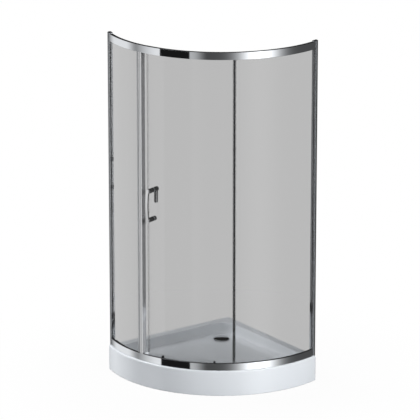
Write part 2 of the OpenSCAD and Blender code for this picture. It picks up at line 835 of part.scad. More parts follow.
module hanger_bushes() {
    placed() color([0.15, 0.15, 0.16]) at_axles() difference() {
        union() {
            along_x(14 - 2 * curve_gap, door_in, door_out);
            along_x(18, door_out, lip_mid - wheel_w / 2 - 0.35);
        }
        along_x(axle_d, door_in - 1, lip_mid);
    }
}

module hanger_axles() {
    head_r = 5.5;
    // A flat head beside the middle of the curved plate meets it at its own outer edge
    seat_x = sqrt(pow(door_in - 6, 2) - pow(wheel_pitch / 2 + head_r, 2)) - curve_gap;
    placed() color([0.76, 0.77, 0.79]) at_axles() {
        along_x(axle_d, door_in - 11, lip_mid + wheel_w / 2 + 1);
        along_x(2 * head_r, door_in - 11, seat_x);
        along_x(9, lip_mid + wheel_w / 2 + 0.35, lip_mid + wheel_w / 2 + 2);
    }
}

module wheel(r, bore) {
    s0 = (wheel_w - wheel_slot) / 2;
    s1 = s0 + wheel_slot;
    root = r - wheel_groove;
    translate([lip_mid - wheel_w / 2, 0, 0]) rotate([0, 90, 0]) difference() {
        rotate_extrude() polygon([
            [bore, 0], [r, 0], [r, s0], [root, s0],
            [root, s1], [r, s1], [r, wheel_w], [bore, wheel_w]
        ]);
        for (a = [0 : 60 : 300]) rotate([0, 0, a]) translate([(bore + root) / 2, 0, -1])
            cylinder(r = (root - bore) * 0.2, h = wheel_w + 2);
    }
}

module upper_wheel(a, side) {
    placed() color([0.88, 0.88, 0.86]) rotate([0, 0, a]) translate([0, side * wheel_pitch / 2, wheel_z])
        wheel(wheel_r, axle_d / 2 + axle_play);
}

module upper_wheel_1() { upper_wheel(left_set_angle, -1); }
module upper_wheel_2() { upper_wheel(left_set_angle, 1); }
module upper_wheel_3() { upper_wheel(right_set_angle, -1); }
module upper_wheel_4() { upper_wheel(right_set_angle, 1); }

// Lower guides
guide_x = door_in - 8;
guide_low = tray_h + 4;
guide_slot_top = low_wheel_z + low_axle_d / 2 + 0.4;
guide_top = guide_slot_top + 5;
seat_z = guide_slot_top + 2;
boss_top = seat_z + 10;
button_low = boss_top - 1;

module guide_housing(a) {
    placed() color([0.25, 0.26, 0.27]) rotate([0, 0, a]) difference() {
        union() {
            ring(door_in - 14, door_in - curve_gap, guide_low, guide_top, -2.2, 2.2);
            translate([guide_x, 0, guide_low + 1]) cylinder(d = button_d + 3, h = boss_top - guide_low - 1);
        }
        translate([guide_x, 0, guide_low - 1]) cylinder(d = plunger_d + 0.1, h = boss_top);
        translate([guide_x, 0, seat_z]) cylinder(d = button_d + 0.15, h = 30);
        translate([guide_x, -low_axle_d / 2 - 0.3, guide_slot_top - low_axle_d - button_travel - 0.8])
            cube([20, low_axle_d + 0.6, low_axle_d + button_travel + 0.8]);
        for (y = [-17, 17]) translate([0, y, low_wheel_z]) along_x(4, door_in - 10, door_in + 1);
    }
}

module guide_housing_left() { guide_housing(left_set_angle); }
module guide_housing_right() { guide_housing(right_set_angle); }

module guide_screws() {
    placed() color([0.75, 0.76, 0.78]) for (a = sets) rotate([0, 0, a]) for (y = [-17, 17])
        translate([0, y, low_wheel_z]) {
            along_x(4, door_in - 10, door_out + 1);
            along_x(8, door_out, door_out + 2);
        }
}

// A level cut through the wire is a thin crescent, and turning it as it rises winds the coil
module guide_spring(a) {
    wire = 1.1;
    turns = 4;
    mean_r = (plunger_d + button_d + 0.25) / 4;
    free_h = button_low - seat_z;
    pitch = (free_h - wire) / turns;
    half = wire / 2 / pitch * 360;
    cut = [for (t = [-half : half / 4 : half + 0.01]) [t, sqrt(max(0.002, pow(wire / 2, 2) - pow(pitch * t / 360, 2)))]];
    outer = [for (c = cut) (mean_r + c[1]) * [cos(c[0]), sin(c[0])]];
    inner = [for (i = [len(cut) - 1 : -1 : 0]) (mean_r - cut[i][1]) * [cos(cut[i][0]), sin(cut[i][0])]];
    placed() color([0.7, 0.71, 0.72]) rotate([0, 0, a]) translate([guide_x, 0, seat_z])
        linear_extrude(height = free_h, twist = -360 * free_h / pitch, slices = 56, $fn = 12)
            polygon(concat(outer, inner));
}

module guide_spring_left() { guide_spring(left_set_angle); }
module guide_spring_right() { guide_spring(right_set_angle); }

module release_button(a) {
    placed() color([0.08, 0.08, 0.09]) rotate([0, 0, a]) {
        translate([guide_x, 0, low_wheel_z - 4]) cylinder(d = plunger_d, h = button_low - low_wheel_z + 5);
        translate([guide_x, 0, button_low]) cylinder(d = button_d, h = button_h);
        translate([0, 0, low_wheel_z]) {
            along_x(low_axle_d, guide_x, lip_mid + wheel_w / 2 + 1);
            along_x(8, door_out + 1, lip_mid - wheel_w / 2 - 0.35);
            along_x(8, lip_mid + wheel_w / 2 + 0.35, lip_mid + wheel_w / 2 + 2);
        }
    }
}

module release_button_left() { release_button(left_set_angle); }
module release_button_right() { release_button(right_set_angle); }

module lower_wheel(a) {
    placed() color([0.88, 0.88, 0.86]) rotate([0, 0, a]) translate([0, 0, low_wheel_z])
        wheel(low_wheel_r, low_axle_d / 2 + axle_play);
}

module lower_wheel_left() { lower_wheel(left_set_angle); }
module lower_wheel_right() { lower_wheel(right_set_angle); }

// Handle
module handle_frame() { rotate([0, 0, handle_angle]) translate([0, 0, handle_z]) children(); }

module at_handle_bolts() {
    for (z = [-1, 1]) translate([0, 0, z * handle_pitch / 2]) children();
}

module handle_bow() {
    half = handle_pitch / 2;
    bend = (half * half + handle_swell * handle_swell) / (2 * handle_swell);
    back = door_out + 1 + handle_reach;
    span = asin((half + 13) / bend);
    cut = 2;
    w = handle_w / 2;
    placed() color([0.85, 0.86, 0.88]) handle_frame() difference() {
        union() {
            translate([back + handle_swell - bend, 0, 0]) rotate([90, 0, 0]) rotate([0, 0, -span])
                rotate_extrude(angle = 2 * span, $fn = 240) translate([bend, 0]) polygon([
                    [0, -w], [handle_t - cut, -w], [handle_t, -w + cut],
                    [handle_t, w - cut], [handle_t - cut, w], [0, w]
                ]);
            at_handle_bolts() along_x(handle_post_d, door_out + 1, back + 3);
        }
        at_handle_bolts() along_x(6, door_out, door_out + 21);
    }
}

module handle_washers() {
    placed() color([0.75, 0.76, 0.78, 0.8]) handle_frame() at_handle_bolts() difference() {
        union() {
            along_x(handle_post_d + 2, door_out, door_out + 1);
            along_x(handle_post_d + 2, door_in - 1.2, door_in - 0.2);
            along_x(handle_hole_d - 2 * curve_gap, door_in - 0.3, door_out + 0.1);
        }
        along_x(6, door_in - 3, door_out + 3);
    }
}

module handle_peg() {
    peg_x = door_in - peg_gap - peg_d / 2;
    placed() color([0.85, 0.86, 0.88]) handle_frame() translate([0, 0, handle_pitch / 2]) difference() {
        union() {
            along_x(handle_post_d, peg_x - peg_d / 2 - 1, door_in - 1.2);
            translate([peg_x, 0, peg_d / 2 - peg_len]) cylinder(d = peg_d, h = peg_len - peg_d / 2);
            translate([peg_x, 0, peg_d / 2 - peg_len]) sphere(d = peg_d);
        }
        along_x(6, door_in - 12, door_in);
    }
}

module handle_cap() {
    placed() color([0.85, 0.86, 0.88]) handle_frame() translate([0, 0, -handle_pitch / 2]) difference() {
        along_x(handle_post_d, door_in - 14, door_in - 1.2);
        along_x(6, door_in - 12, door_in);
    }
}

module handle_bolts() {
    placed() color([0.7, 0.71, 0.72]) handle_frame() at_handle_bolts() along_x(6, door_in - 12, door_out + 21);
}

shower_tray();
tray_frame();
foot_rods();
foot_nuts();
foot_pads();
waste_body();
waste_seal();
waste_flange();
waste_flange_screws();
waste_cup();
waste_outlet_nut();
waste_outlet_pipe();
waste_cover();
wall_profile_left();
wall_profile_right();
side_post_left();
side_post_right();
post_cap_left();
post_cap_right();
post_screws();
top_rail();
bottom_rail();
corner_blocks();
corner_screws();
groove_strips();
fixed_glass_left();
fixed_glass_right();
setting_blocks();
glazing_gaskets_top();
glazing_gaskets_bottom();
post_gaskets();
closing_jamb();
jamb_gasket();
jamb_magnet();
right_pane_seal();
door_stops();
door_glass();
door_magnet();
door_rear_seal();
hanger_plates();
hanger_bushes();
hanger_axles();
upper_wheel_1();
upper_wheel_2();
upper_wheel_3();
upper_wheel_4();
guide_housing_left();
guide_housing_right();
guide_screws();
guide_spring_left();
guide_spring_right();
release_button_left();
release_button_right();
lower_wheel_left();
lower_wheel_right();
handle_bow();
handle_washers();
handle_peg();
handle_cap();
handle_bolts();
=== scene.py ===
"""Corner shower enclosure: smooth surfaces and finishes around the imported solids.

All lengths are in metres in the shared frame: the floor is z = 0 and the room corner is
towards +X and +Y. Angles round the bow are in degrees from +X, counter-clockwise, about
the bow's centre.
"""
import logging
import math
from dataclasses import dataclass
from enum import Enum
from functools import cache, cached_property
from typing import Any, Mapping, Optional, Sequence, Union

import bpy
import numpy as np
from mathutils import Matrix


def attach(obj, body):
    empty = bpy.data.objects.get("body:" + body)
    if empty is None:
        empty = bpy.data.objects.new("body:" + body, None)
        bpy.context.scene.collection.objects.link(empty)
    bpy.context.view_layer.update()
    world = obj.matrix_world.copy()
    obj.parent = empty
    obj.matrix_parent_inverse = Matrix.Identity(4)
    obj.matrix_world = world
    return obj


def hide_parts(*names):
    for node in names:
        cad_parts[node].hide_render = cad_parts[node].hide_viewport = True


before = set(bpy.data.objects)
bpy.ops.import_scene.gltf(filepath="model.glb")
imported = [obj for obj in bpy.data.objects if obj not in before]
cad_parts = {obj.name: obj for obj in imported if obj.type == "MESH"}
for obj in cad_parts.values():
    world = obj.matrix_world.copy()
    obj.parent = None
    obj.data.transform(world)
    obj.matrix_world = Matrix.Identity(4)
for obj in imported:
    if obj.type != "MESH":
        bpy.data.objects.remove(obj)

LOG = logging.getLogger("shower")

BOW_CENTRE = np.array([0.250, 0.250])
# From the bow's centre to each wall
WALL_INSET = 0.200
TRAY_HEIGHT = 0.150
RAIL_HEIGHT = 0.042
FRAME_TOP = 2.040
FRAME_OUTER = 0.690
PROFILE_EASE = 0.0007
POST_TOP = 2.041
# Where the left side post stands on the bow, and with it the ends of the rails
LEG_ANGLE = 165.2371
LEFT_END, RIGHT_END = LEG_ANGLE, 450.0 - LEG_ANGLE
LEFT_PANE_EDGE = LEG_ANGLE + 26.5
GLASS_THICKNESS = 0.005
GLASS_EASE = 0.0006
FIXED_PANE_RADIUS = 0.682
DOOR_INNER, DOOR_OUTER = 0.642, 0.647
# The slot that takes a fixed pane, in the side posts and in the closing jamb
SLOT_INNER, SLOT_OUTER = 0.678, 0.686

Colour = tuple[float, float, float]
Operand = Union["Wire", float]
# One number for all points, or one for each
Numbers = Union[float, np.ndarray]


class Wire:
    """A shader socket that takes part in sums, products and differences."""

    def __init__(self, nodes: "Wiring", socket: Optional[bpy.types.NodeSocket]) -> None:
        """Wraps one output socket of a node tree."""
        self.nodes = nodes
        self.socket = socket

    def _with(self, operation: str, first: Operand, second: Operand) -> "Wire":
        """Adds one Math node on two values or wires."""
        return self.nodes.add("ShaderNodeMath", {"operation": operation}, {0: first, 1: second})

    def __add__(self, other: Operand) -> "Wire":
        """Sum."""
        return self._with("ADD", self, other)

    __radd__ = __add__

    def __mul__(self, other: Operand) -> "Wire":
        """Product."""
        return self._with("MULTIPLY", self, other)

    __rmul__ = __mul__

    def __sub__(self, other: Operand) -> "Wire":
        """Difference."""
        return self._with("SUBTRACT", self, other)

    def __rsub__(self, other: Operand) -> "Wire":
        """Difference with a plain number in front."""
        return self._with("SUBTRACT", other, self)

    def larger(self, other: Operand) -> "Wire":
        """The larger of the two."""
        return self._with("MAXIMUM", self, other)

    def spread(self, low: float, high: float) -> "Wire":
        """A mask from 0 to 1 spread over low to high."""
        return self * (high - low) + low


class Wiring:
    """Adds nodes to one material's or world's tree."""

    def __init__(self, tree: bpy.types.NodeTree) -> None:
        """Empties the tree and keeps it."""
        self.tree = tree
        tree.nodes.clear()

    def add(self, kind: str, settings: Optional[Mapping[str, Any]] = None,
            inputs: Optional[Mapping[Any, Any]] = None, output: Union[int, str] = 0) -> Wire:
        """Adds a node.

        Args:
            kind: the node's type.
            settings: its properties, set first.
            inputs: values or wires by socket name or number.
            output: the socket that the result stands for.

        Returns:
            The chosen output as a wire, which is empty on a node without outputs.
        """
        node = self.tree.nodes.new(kind)
        for name, value in (settings or {}).items():
            setattr(node, name, value)
        for key, value in (inputs or {}).items():
            if isinstance(value, Wire):
                self.tree.links.new(value.socket, node.inputs[key])
            else:
                node.inputs[key].default_value = value
        return Wire(self, node.outputs[output] if node.outputs else None)

    def noise(self, scale: float, detail: float = 2.0, stretch: Colour = (1.0, 1.0, 1.0)) -> Wire:
        """Noise on the piece's own coordinates.

        Args:
            scale: how many clouds or grains lie in a metre.
            detail: how many finer layers are added.
            stretch: a factor on each axis; a small one draws the grains out along it.

        Returns:
            A mask from 0 to 1.
        """
        place = self.add("ShaderNodeTexCoord", output="Object")
        turned = self.add("ShaderNodeMapping", inputs={"Vector": place, "Scale": stretch})
        return self.add("ShaderNodeTexNoise",
                        inputs={"Vector": turned, "Scale": scale, "Detail": detail})

    def tint(self, mask: Wire, first: Colour, second: Colour) -> Wire:
        """Mixes two colours by a mask."""
        return self.add("ShaderNodeMix", {"data_type": "RGBA"},
                        {"Factor": mask, "A": (*first, 1.0), "B": (*second, 1.0)}, "Result")

    def bump(self, height: Wire, strength: float, distance: float) -> Wire:
        """A normal raised by a height."""
        return self.add("ShaderNodeBump", inputs={"Height": height, "Strength": strength,
                                                  "Distance": distance})

    def smooth_step(self, value: Wire, start: float, stop: float, low: float = 0.0,
                    high: float = 1.0) -> Wire:
        """Rises smoothly from low to high while a value goes from start to stop."""
        return self.add("ShaderNodeMapRange", {"interpolation_type": "SMOOTHSTEP"},
                        {"Value": value, "From Min": start, "From Max": stop, "To Min": low,
                         "To Max": high})


def scaled(colour: Colour, factor: float) -> Colour:
    """A colour made lighter or darker."""
    return tuple(min(1.0, channel * factor) for channel in colour)


class Kind(Enum):
    """How the fine structure of a finish runs."""

    PLAIN = (1.0, 1.0, 1.0)
    DRAWN_UP = (1.0, 1.0, 0.02)
    LEVEL = (0.03, 0.03, 1.0)


@dataclass(frozen=True)
class Finish:
    """One finish: a base colour with slight mottling, a roughness range and fine relief."""

    name: str
    colour: Colour
    roughness: tuple[float, float]
    metallic: float = 0.0
    mottling: float = 0.05
    cloud_size: float = 0.03
    grain_size: float = 0.002
    relief: float = 0.00002
    coat: float = 0.0
    alpha: float = 1.0
    kind: Kind = Kind.PLAIN

    @cache
    def build(self) -> bpy.types.Material:
        """Makes the node material, once for each finish.

        Returns:
            The material. Clouds tint its colour, the grain raises its surface, and its
            roughness follows three parts of the clouds and two of the grain.
        """
        material = bpy.data.materials.new(f"finish_{self.name}")
        material.use_nodes = True
        wiring = Wiring(material.node_tree)
        clouds = wiring.noise(1.0 / self.cloud_size, 3.0)
        grain = wiring.noise(1.0 / self.grain_size, 2.0, self.kind.value)
        base = wiring.tint(clouds, scaled(self.colour, 1.0 - self.mottling),
                           scaled(self.colour, 1.0 + self.mottling))
        rough = (clouds * 0.6 + grain * 0.4).spread(*self.roughness)
        shader = wiring.add("ShaderNodeBsdfPrincipled", inputs={
            "Base Color": base,
            "Roughness": rough,
            "Metallic": self.metallic,
            "Coat Weight": self.coat,
            "Coat Roughness": 0.04,
            "Alpha": self.alpha,
            "IOR": 1.5,
            "Normal": wiring.bump(grain, 0.5, self.relief),
        })
        wiring.add("ShaderNodeOutputMaterial", inputs={"Surface": shader})
        return material


CHROME = Finish("bright_chrome", (0.835, 0.86, 0.89), (0.03, 0.07), metallic=1.0, mottling=0.01,
                cloud_size=0.08, grain_size=0.004, relief=0.000002, kind=Kind.DRAWN_UP)
CAST_CHROME = Finish("cast_chrome", (0.87, 0.875, 0.885), (0.03, 0.06), metallic=1.0,
                     mottling=0.01, grain_size=0.003, relief=0.000002)
SATIN_CHROME = Finish("satin_chrome", (0.78, 0.785, 0.8), (0.07, 0.13), metallic=0.8,
                      mottling=0.02, cloud_size=0.06, grain_size=0.003, relief=0.000004,
                      kind=Kind.DRAWN_UP)
ACRYLIC = Finish("white_acrylic", (0.8, 0.836, 0.876), (0.16, 0.24), mottling=0.008,
                 cloud_size=0.12, grain_size=0.006, relief=0.00001, coat=0.3)
SMOKED_GLASS = Finish("smoked_glass", (0.012, 0.0125, 0.013), (0.0, 0.015), cloud_size=0.4,
                      grain_size=0.02, relief=0.0000005, alpha=0.305)
CLEAR_SEAL = Finish("clear_seal", (0.55, 0.565, 0.58), (0.18, 0.3), alpha=0.55)
MILKY_SEAL = Finish("milky_seal", (0.3, 0.303, 0.31), (0.3, 0.42), mottling=0.04)
DARK_SEAL = Finish("dark_seal", (0.12, 0.124, 0.128), (0.3, 0.45), mottling=0.1, relief=0.00003,
                   alpha=0.12)
RUBBER = Finish("black_rubber", (0.018, 0.018, 0.019), (0.5, 0.7), mottling=0.2,
                cloud_size=0.02, grain_size=0.0012, relief=0.00005)
DARK_PLASTIC = Finish("dark_plastic", (0.03, 0.031, 0.033), (0.25, 0.38), mottling=0.1,
                      cloud_size=0.02, grain_size=0.001)
BLACK_NYLON = Finish("black_nylon", (0.014, 0.014, 0.015), (0.35, 0.5), mottling=0.1,
                     cloud_size=0.01, grain_size=0.0008, relief=0.00003)
WHITE_NYLON = Finish("white_nylon", (0.78, 0.775, 0.74), (0.35, 0.5), mottling=0.04,
                     cloud_size=0.01, grain_size=0.0008, relief=0.00003, coat=0.1)
WHITE_PLASTIC = Finish("white_plastic", (0.74, 0.74, 0.71), (0.3, 0.45), mottling=0.03,
                       grain_size=0.0015, relief=0.00003)
GREY_PLASTIC = Finish("grey_plastic", (0.2, 0.205, 0.215), (0.35, 0.5), mottling=0.06,
                      grain_size=0.0015, relief=0.00003)
STAINLESS = Finish("bright_stainless", (0.68, 0.69, 0.7), (0.16, 0.28), metallic=1.0,
                   mottling=0.03, cloud_size=0.01, grain_size=0.0006, relief=0.00001,
                   kind=Kind.LEVEL)
ZINC_STEEL = Finish("zinc_steel", (0.5, 0.51, 0.52), (0.3, 0.5), metallic=1.0, mottling=0.1,
                    cloud_size=0.012, grain_size=0.001)
GALVANISED = Finish("galvanised_steel", (0.42, 0.43, 0.44), (0.38, 0.62), metallic=0.9,
                    mottling=0.16, cloud_size=0.018, grain_size=0.003, relief=0.00003)
SPRING_STEEL = Finish("spring_steel", (0.55, 0.56, 0.57), (0.2, 0.34), metallic=1.0,
                      cloud_size=0.004, grain_size=0.0004, relief=0.00001)
CLEAR_CARRIER = Finish("clear_carrier", (0.1, 0.102, 0.106), (0.2, 0.32), cloud_size=0.02,
                       grain_size=0.0015, relief=0.00001, alpha=0.31)
CLEAR_GRIP = Finish("clear_grip", (0.3, 0.305, 0.31), (0.2, 0.32), cloud_size=0.02,
                    grain_size=0.0015, relief=0.00001, alpha=0.06)


class Side(Enum):
    """Which wall a piece stands at. The right wall's pieces mirror the left wall's."""

    LEFT = "left"
    RIGHT = "right"


def heading(angle: float) -> tuple[float, float]:
    """Cosine and sine of an angle in degrees."""
    return math.cos(math.radians(angle)), math.sin(math.radians(angle))


def stacked(*parts: Numbers) -> np.ndarray:
    """Rows put together from columns, such as points from their coordinates."""
    return np.stack(np.broadcast_arrays(*parts), -1)


def bezier(t: float, start: Numbers, leave: Numbers, arrive: Numbers, stop: Numbers) -> Numbers:
    """A cubic curve: (1-t)^3 start + 3t(1-t)^2 leave + 3t^2(1-t) arrive + t^3 stop."""
    return ((1 - t) ** 3 * start + 3 * t * (1 - t) ** 2 * leave
            + 3 * t ** 2 * (1 - t) * arrive + t ** 3 * stop)


def signed_volume(points: np.ndarray, faces: Sequence[Sequence[int]]) -> float:
    """Volume inside a closed mesh: the sum of the tetrahedra that each fan triangle makes.

    Args:
        points: one row for each point.
        faces: the corners of each face.

    Returns:
        The volume, which is below zero where the faces point inwards.
    """
    total = 0.0
    for size in set(map(len, faces)):
        rows = np.array([face for face in faces if len(face) == size])
        first = points[rows[:, 0]]
        for index in range(1, size - 1):
            total += np.einsum("ij,ij->i", first, np.cross(points[rows[:, index]],
                                                           points[rows[:, index + 1]])).sum()
    return float(total) / 6.0


def grid_faces(rows: int, columns: int, wrap_rows: bool, wrap_columns: bool) -> np.ndarray:
    """Quads between neighbouring points of a grid whose points are numbered row by row.

    Args:
        rows: how many rows the grid has.
        columns: how many points stand in a row.
        wrap_rows: whether the last row joins the first.
        wrap_columns: whether the last column joins the first.

    Returns:
        Four corners for each quad.
    """
    i = np.arange(rows if wrap_rows else rows - 1)[:, None]
    j = np.arange(columns if wrap_columns else columns - 1)[None, :]
    down, right = (i + 1) % rows, (j + 1) % columns
    corners = (i * columns + j, i * columns + right, down * columns + right, down * columns + j)
    return stacked(*corners).reshape(-1, 4)


def skin_object(name: str, points: np.ndarray, faces: Sequence[Sequence[int]],
                sharp_deg: float = 42.0) -> bpy.types.Object:
    """Puts points and faces into a smooth mesh whose sharp folds stay crisp.

    Args:
        name: the piece's name.
        points: an array of points.
        faces: the corners of each face.
        sharp_deg: an edge folded by more than this stays crisp.

    Returns:
        The new object, at the origin and unturned.
    """
    mesh = bpy.data.meshes.new(name)
    mesh.from_pydata(points.reshape(-1, 3).tolist(), [], faces)
    mesh.update()
    mesh.polygons.foreach_set("use_smooth", np.ones(len(mesh.polygons), bool))
    mesh.set_sharp_from_angle(angle=math.radians(sharp_deg))
    piece = bpy.data.objects.new(name, mesh)
    bpy.context.scene.collection.objects.link(piece)
    return piece


def solid_object(name: str, points: np.ndarray,
                 faces: Sequence[Sequence[int]]) -> bpy.types.Object:
    """A closed mesh with its faces outwards and its flats shaded flat.

    Args:
        name: the piece's name.
        points: an array of points.
        faces: the corners of each face.

    Returns:
        The new object, at the origin and unturned.
    """
    if signed_volume(points.reshape(-1, 3), faces) < 0:
        faces = [face[::-1] for face in faces]
    piece = skin_object(name, points, faces)
    weighted = piece.modifiers.new("flats", "WEIGHTED_NORMAL")
    weighted.keep_sharp = True
    return piece


def tube(name: str, grid: np.ndarray) -> bpy.types.Object:
    """A closed section carried along an open path, with a flat face at both ends.

    Args:
        name: the piece's name.
        grid: one row of section points for each station of the path.

    Returns:
        The new object.
    """
    rows, columns = grid.shape[:2]
    faces = grid_faces(rows, columns, False, True).tolist()
    faces.append(list(range(columns)))
    faces.append(list(range((rows - 1) * columns, rows * columns)))
    return solid_object(name, grid, faces)


def joined(name: str, pieces: Sequence[bpy.types.Object]) -> bpy.types.Object:
    """Several shells as one object.

    Args:
        name: the name of the whole.
        pieces: the shells.

    Returns:
        The first shell, with the others in its mesh and its own modifiers kept.
    """
    first = pieces[0]
    with bpy.context.temp_override(active_object=first, object=first,
                                   selected_editable_objects=list(pieces)):
        bpy.ops.object.join()
    first.name = first.data.name = name
    return first


def rounded(corners: Sequence[Sequence[float]], radius: float, steps: int = 4) -> np.ndarray:
    """A polygon with eased corners.

    Each corner becomes the parabola that touches both sides at the same distance from it:
    (1-t)^2 start + 2t(1-t) corner + t^2 stop. The distance is the radius, or 0.45 of the
    shorter side where that is less.

    Args:
        corners: the polygon's corners in order.
        radius: how far from a corner its easing starts.
        steps: how many edges each easing has.

    Returns:
        The eased polygon, one row for each point.
    """
    corner = np.asarray(corners, float)
    before, after = np.roll(corner, 1, 0) - corner, np.roll(corner, -1, 0) - corner
    length_before = np.linalg.norm(before, axis=1, keepdims=True)
    length_after = np.linalg.norm(after, axis=1, keepdims=True)
    reach = np.minimum(radius, 0.45 * np.minimum(length_before, length_after))
    start = (corner + before / length_before * reach)[:, None]
    stop = (corner + after / length_after * reach)[:, None]
    t = np.linspace(0.0, 1.0, steps + 1)[None, :, None]
    curve = (1 - t) ** 2 * start + 2 * t * (1 - t) * corner[:, None] + t ** 2 * stop
    return curve.reshape(-1, curve.shape[-1])


def round_bow(section: np.ndarray, start: float, stop: float) -> np.ndarray:
    """A section carried round the bow's centre in steps of a degree: x = radius cos(angle) and
    y = radius sin(angle).

    Args:
        section: its points as (radius, height).
        start: the angle of the first station.
        stop: the angle of the last station.

    Returns:
        One row of points for each station.
    """
    count = max(2, int(math.ceil(abs(stop - start))) + 1)
    angle = np.radians(np.linspace(start, stop, count))[:, None]
    radius, height = section[:, 0][None, :], section[:, 1][None, :]
    return stacked(BOW_CENTRE[0] + radius * np.cos(angle),
                   BOW_CENTRE[1] + radius * np.sin(angle), height)


def at_bow_angle(points: np.ndarray, angle: float, side: Side = Side.LEFT) -> np.ndarray:
    """Turns points drawn with local X pointing outwards to an angle on the bow.

    Args:
        points: points as (outwards, aside, up).
        angle: where they go on the bow.
        side: the right side swaps X and Y about the bow's centre, which mirrors the points.

    Returns:
        The points in the shared frame.
    """
    c, s = heading(angle)
    x = points[..., 0] * c - points[..., 1] * s
    y = points[..., 0] * s + points[..., 1] * c
    if side is Side.RIGHT:
        x, y = y, x
    return stacked(x + BOW_CENTRE[0], y + BOW_CENTRE[1], points[..., 2])


def column(name: str, plan: np.ndarray, low: float, high: float, angle: float,
           side: Side = Side.LEFT) -> bpy.types.Object:
    """A plan outline drawn straight up at an angle on the bow.

    Args:
        name: the piece's name.
        plan: its outline as (outwards, aside).
        low: the height of its foot.
        high: the height of its top.
        angle: where it stands on the bow.
        side: the wall that it stands at.

    Returns:
        The new object.
    """
    ends = np.stack([stacked(*plan.T, height) for height in (low, high)])
    return tube(name, at_bow_angle(ends, angle, side))


def lathe(name: str, profile: np.ndarray, centre: Sequence[float],
          axis_angle: Optional[float] = None, around: int = 64) -> bpy.types.Object:
    """A turned piece whose profile starts and ends on its axis: each point of the profile goes
    round as radius times cosine and sine.

    Args:
        name: the piece's name.
        profile: (radius, height) from one pole to the other.
        centre: where local height 0 lies, in the shared frame.
        axis_angle: None for an upright axis, or the bow angle that the axis points along.
        around: how many steps go round.

    Returns:
        The new object.
    """
    radius, height = profile[1:-1, 0][None, :], profile[1:-1, 1][None, :]
    turn = np.linspace(0.0, 2 * math.pi, around, endpoint=False)[:, None]
    grid = stacked(radius * np.cos(turn), radius * np.sin(turn), height)
    poles = np.array([[0.0, 0.0, profile[0, 1]], [0.0, 0.0, profile[-1, 1]]])
    points = np.concatenate([grid.reshape(-1, 3), poles])
    count = grid.shape[1]
    ring = np.arange(around)
    following = (ring + 1) % around
    first, last = around * count, around * count + 1
    faces = grid_faces(around, count, True, False).tolist()
    faces += stacked(following * count, ring * count, first).tolist()
    faces += stacked((ring + 1) * count - 1, (following + 1) * count - 1, last).tolist()
    if axis_angle is not None:
        c, s = heading(axis_angle)
        out, side, up = np.array([[c, s, 0.0], [-s, c, 0.0], [0.0, 0.0, 1.0]])
        points = points[:, 2:3] * out + points[:, 0:1] * side + points[:, 1:2] * up
    return solid_object(name, points + np.asarray(centre, float), faces)


def bent_pane(name: str, inner: float, outer: float, levels: tuple[float, float],
              ends: tuple[float, float]) -> bpy.types.Object:
    """A pane of glass: a thin rectangle with eased edges carried round the bow.

    Args:
        name: the piece's name.
        inner: the radius of its inner face.
        outer: the radius of its outer face.
        levels: the heights of its lower and upper edge.
        ends: the bow angles of its two upright edges.

    Returns:
        The new object.
    """
    low, high = levels
    section = rounded([(outer, low), (outer, high), (inner, high), (inner, low)], GLASS_EASE, 2)
    return tube(name, round_bow(section, *ends))


def settle(piece: bpy.types.Object, finish: Finish, body: str,
           replaces: Sequence[str]) -> None:
    """Dresses a new piece, hides the solids that it stands for and lets it ride on their body.

    Args:
        piece: the new piece.
        finish: what it is dressed in.
        body: the body that it moves with.
        replaces: the nodes that it stands for.
    """
    piece.data.materials.clear()
    piece.data.materials.append(finish.build())
    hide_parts(*replaces)
    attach(piece, body)
    LOG.info("%s stands for %s on %s", piece.name, ", ".join(replaces), body)


def dress(finish: Finish, *nodes: str) -> None:
    """Gives solids that keep their own shape a finish.

    Args:
        finish: what they are dressed in.
        *nodes: the names of their nodes.
    """
    material = finish.build()
    for name in nodes:
        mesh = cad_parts[name].data
        if not mesh.materials:
            mesh.materials.append(material)
        for index in range(len(mesh.materials)):
            mesh.materials[index] = material
        LOG.info("%s is dressed in %s", name, finish.name)


@dataclass
class Outline:
    """A plan outline of the tray about the bow's centre, drawn in from the walls and the bow by
    its insets. The room corner has one radius, and the tips where the bow meets the walls have
    another."""

    inset_wall: float
    inset_bow: float
    corner: float
    tip: float
    bow_radius: float = 0.700

    def points(self, count: int = 360) -> np.ndarray:
        """Half the room corner, the wall line, the rounded tip and half the bow, each of them a
        line or an arc of a circle, then the mirror image of them all.

        Args:
            count: how many points half the bow has; the other parts have a share of it.

        Returns:
            One row for each point.
        """
        line = WALL_INSET - self.inset_wall
        bow = self.bow_radius - self.inset_bow
        level = line - self.tip
        reach = -math.sqrt((bow - self.tip) ** 2 - level ** 2)
        tip_angle = math.atan2(level, reach)
        corner_turn = np.linspace(math.pi / 4, math.pi / 2, count // 6)
        tip_turn = np.linspace(math.pi / 2, tip_angle, count // 6)
        bow_middle = 1.25 * math.pi
        bow_turn = np.linspace(tip_angle, bow_middle, count)
        run = np.linspace(line - self.corner, reach, count // 2)[1:-1]
        corner, tip, arc = (stacked(np.cos(turn), np.sin(turn))
                            for turn in (corner_turn, tip_turn, bow_turn))
        half = np.concatenate([
            line - self.corner + self.corner * corner,
            stacked(run, line),
            np.array([reach, level]) + self.tip * tip,
            bow * arc,
        ])
        return np.concatenate([half, half[::-1, ::-1]])

    def reach(self, centre: np.ndarray, angle: np.ndarray) -> np.ndarray:
        """How far the outline lies from a centre, by linear steps between its points sorted by
        direction.

        Args:
            centre: a plan point about the bow's centre.
            angle: the directions asked for, in radians.

        Returns:
            The distance in each direction.
        """
        away = self.points() - centre
        direction = np.arctan2(away[:, 1], away[:, 0])
        order = np.argsort(direction)
        return np.interp(angle, direction[order], np.hypot(away[:, 0], away[:, 1])[order],
                         period=2 * math.pi)


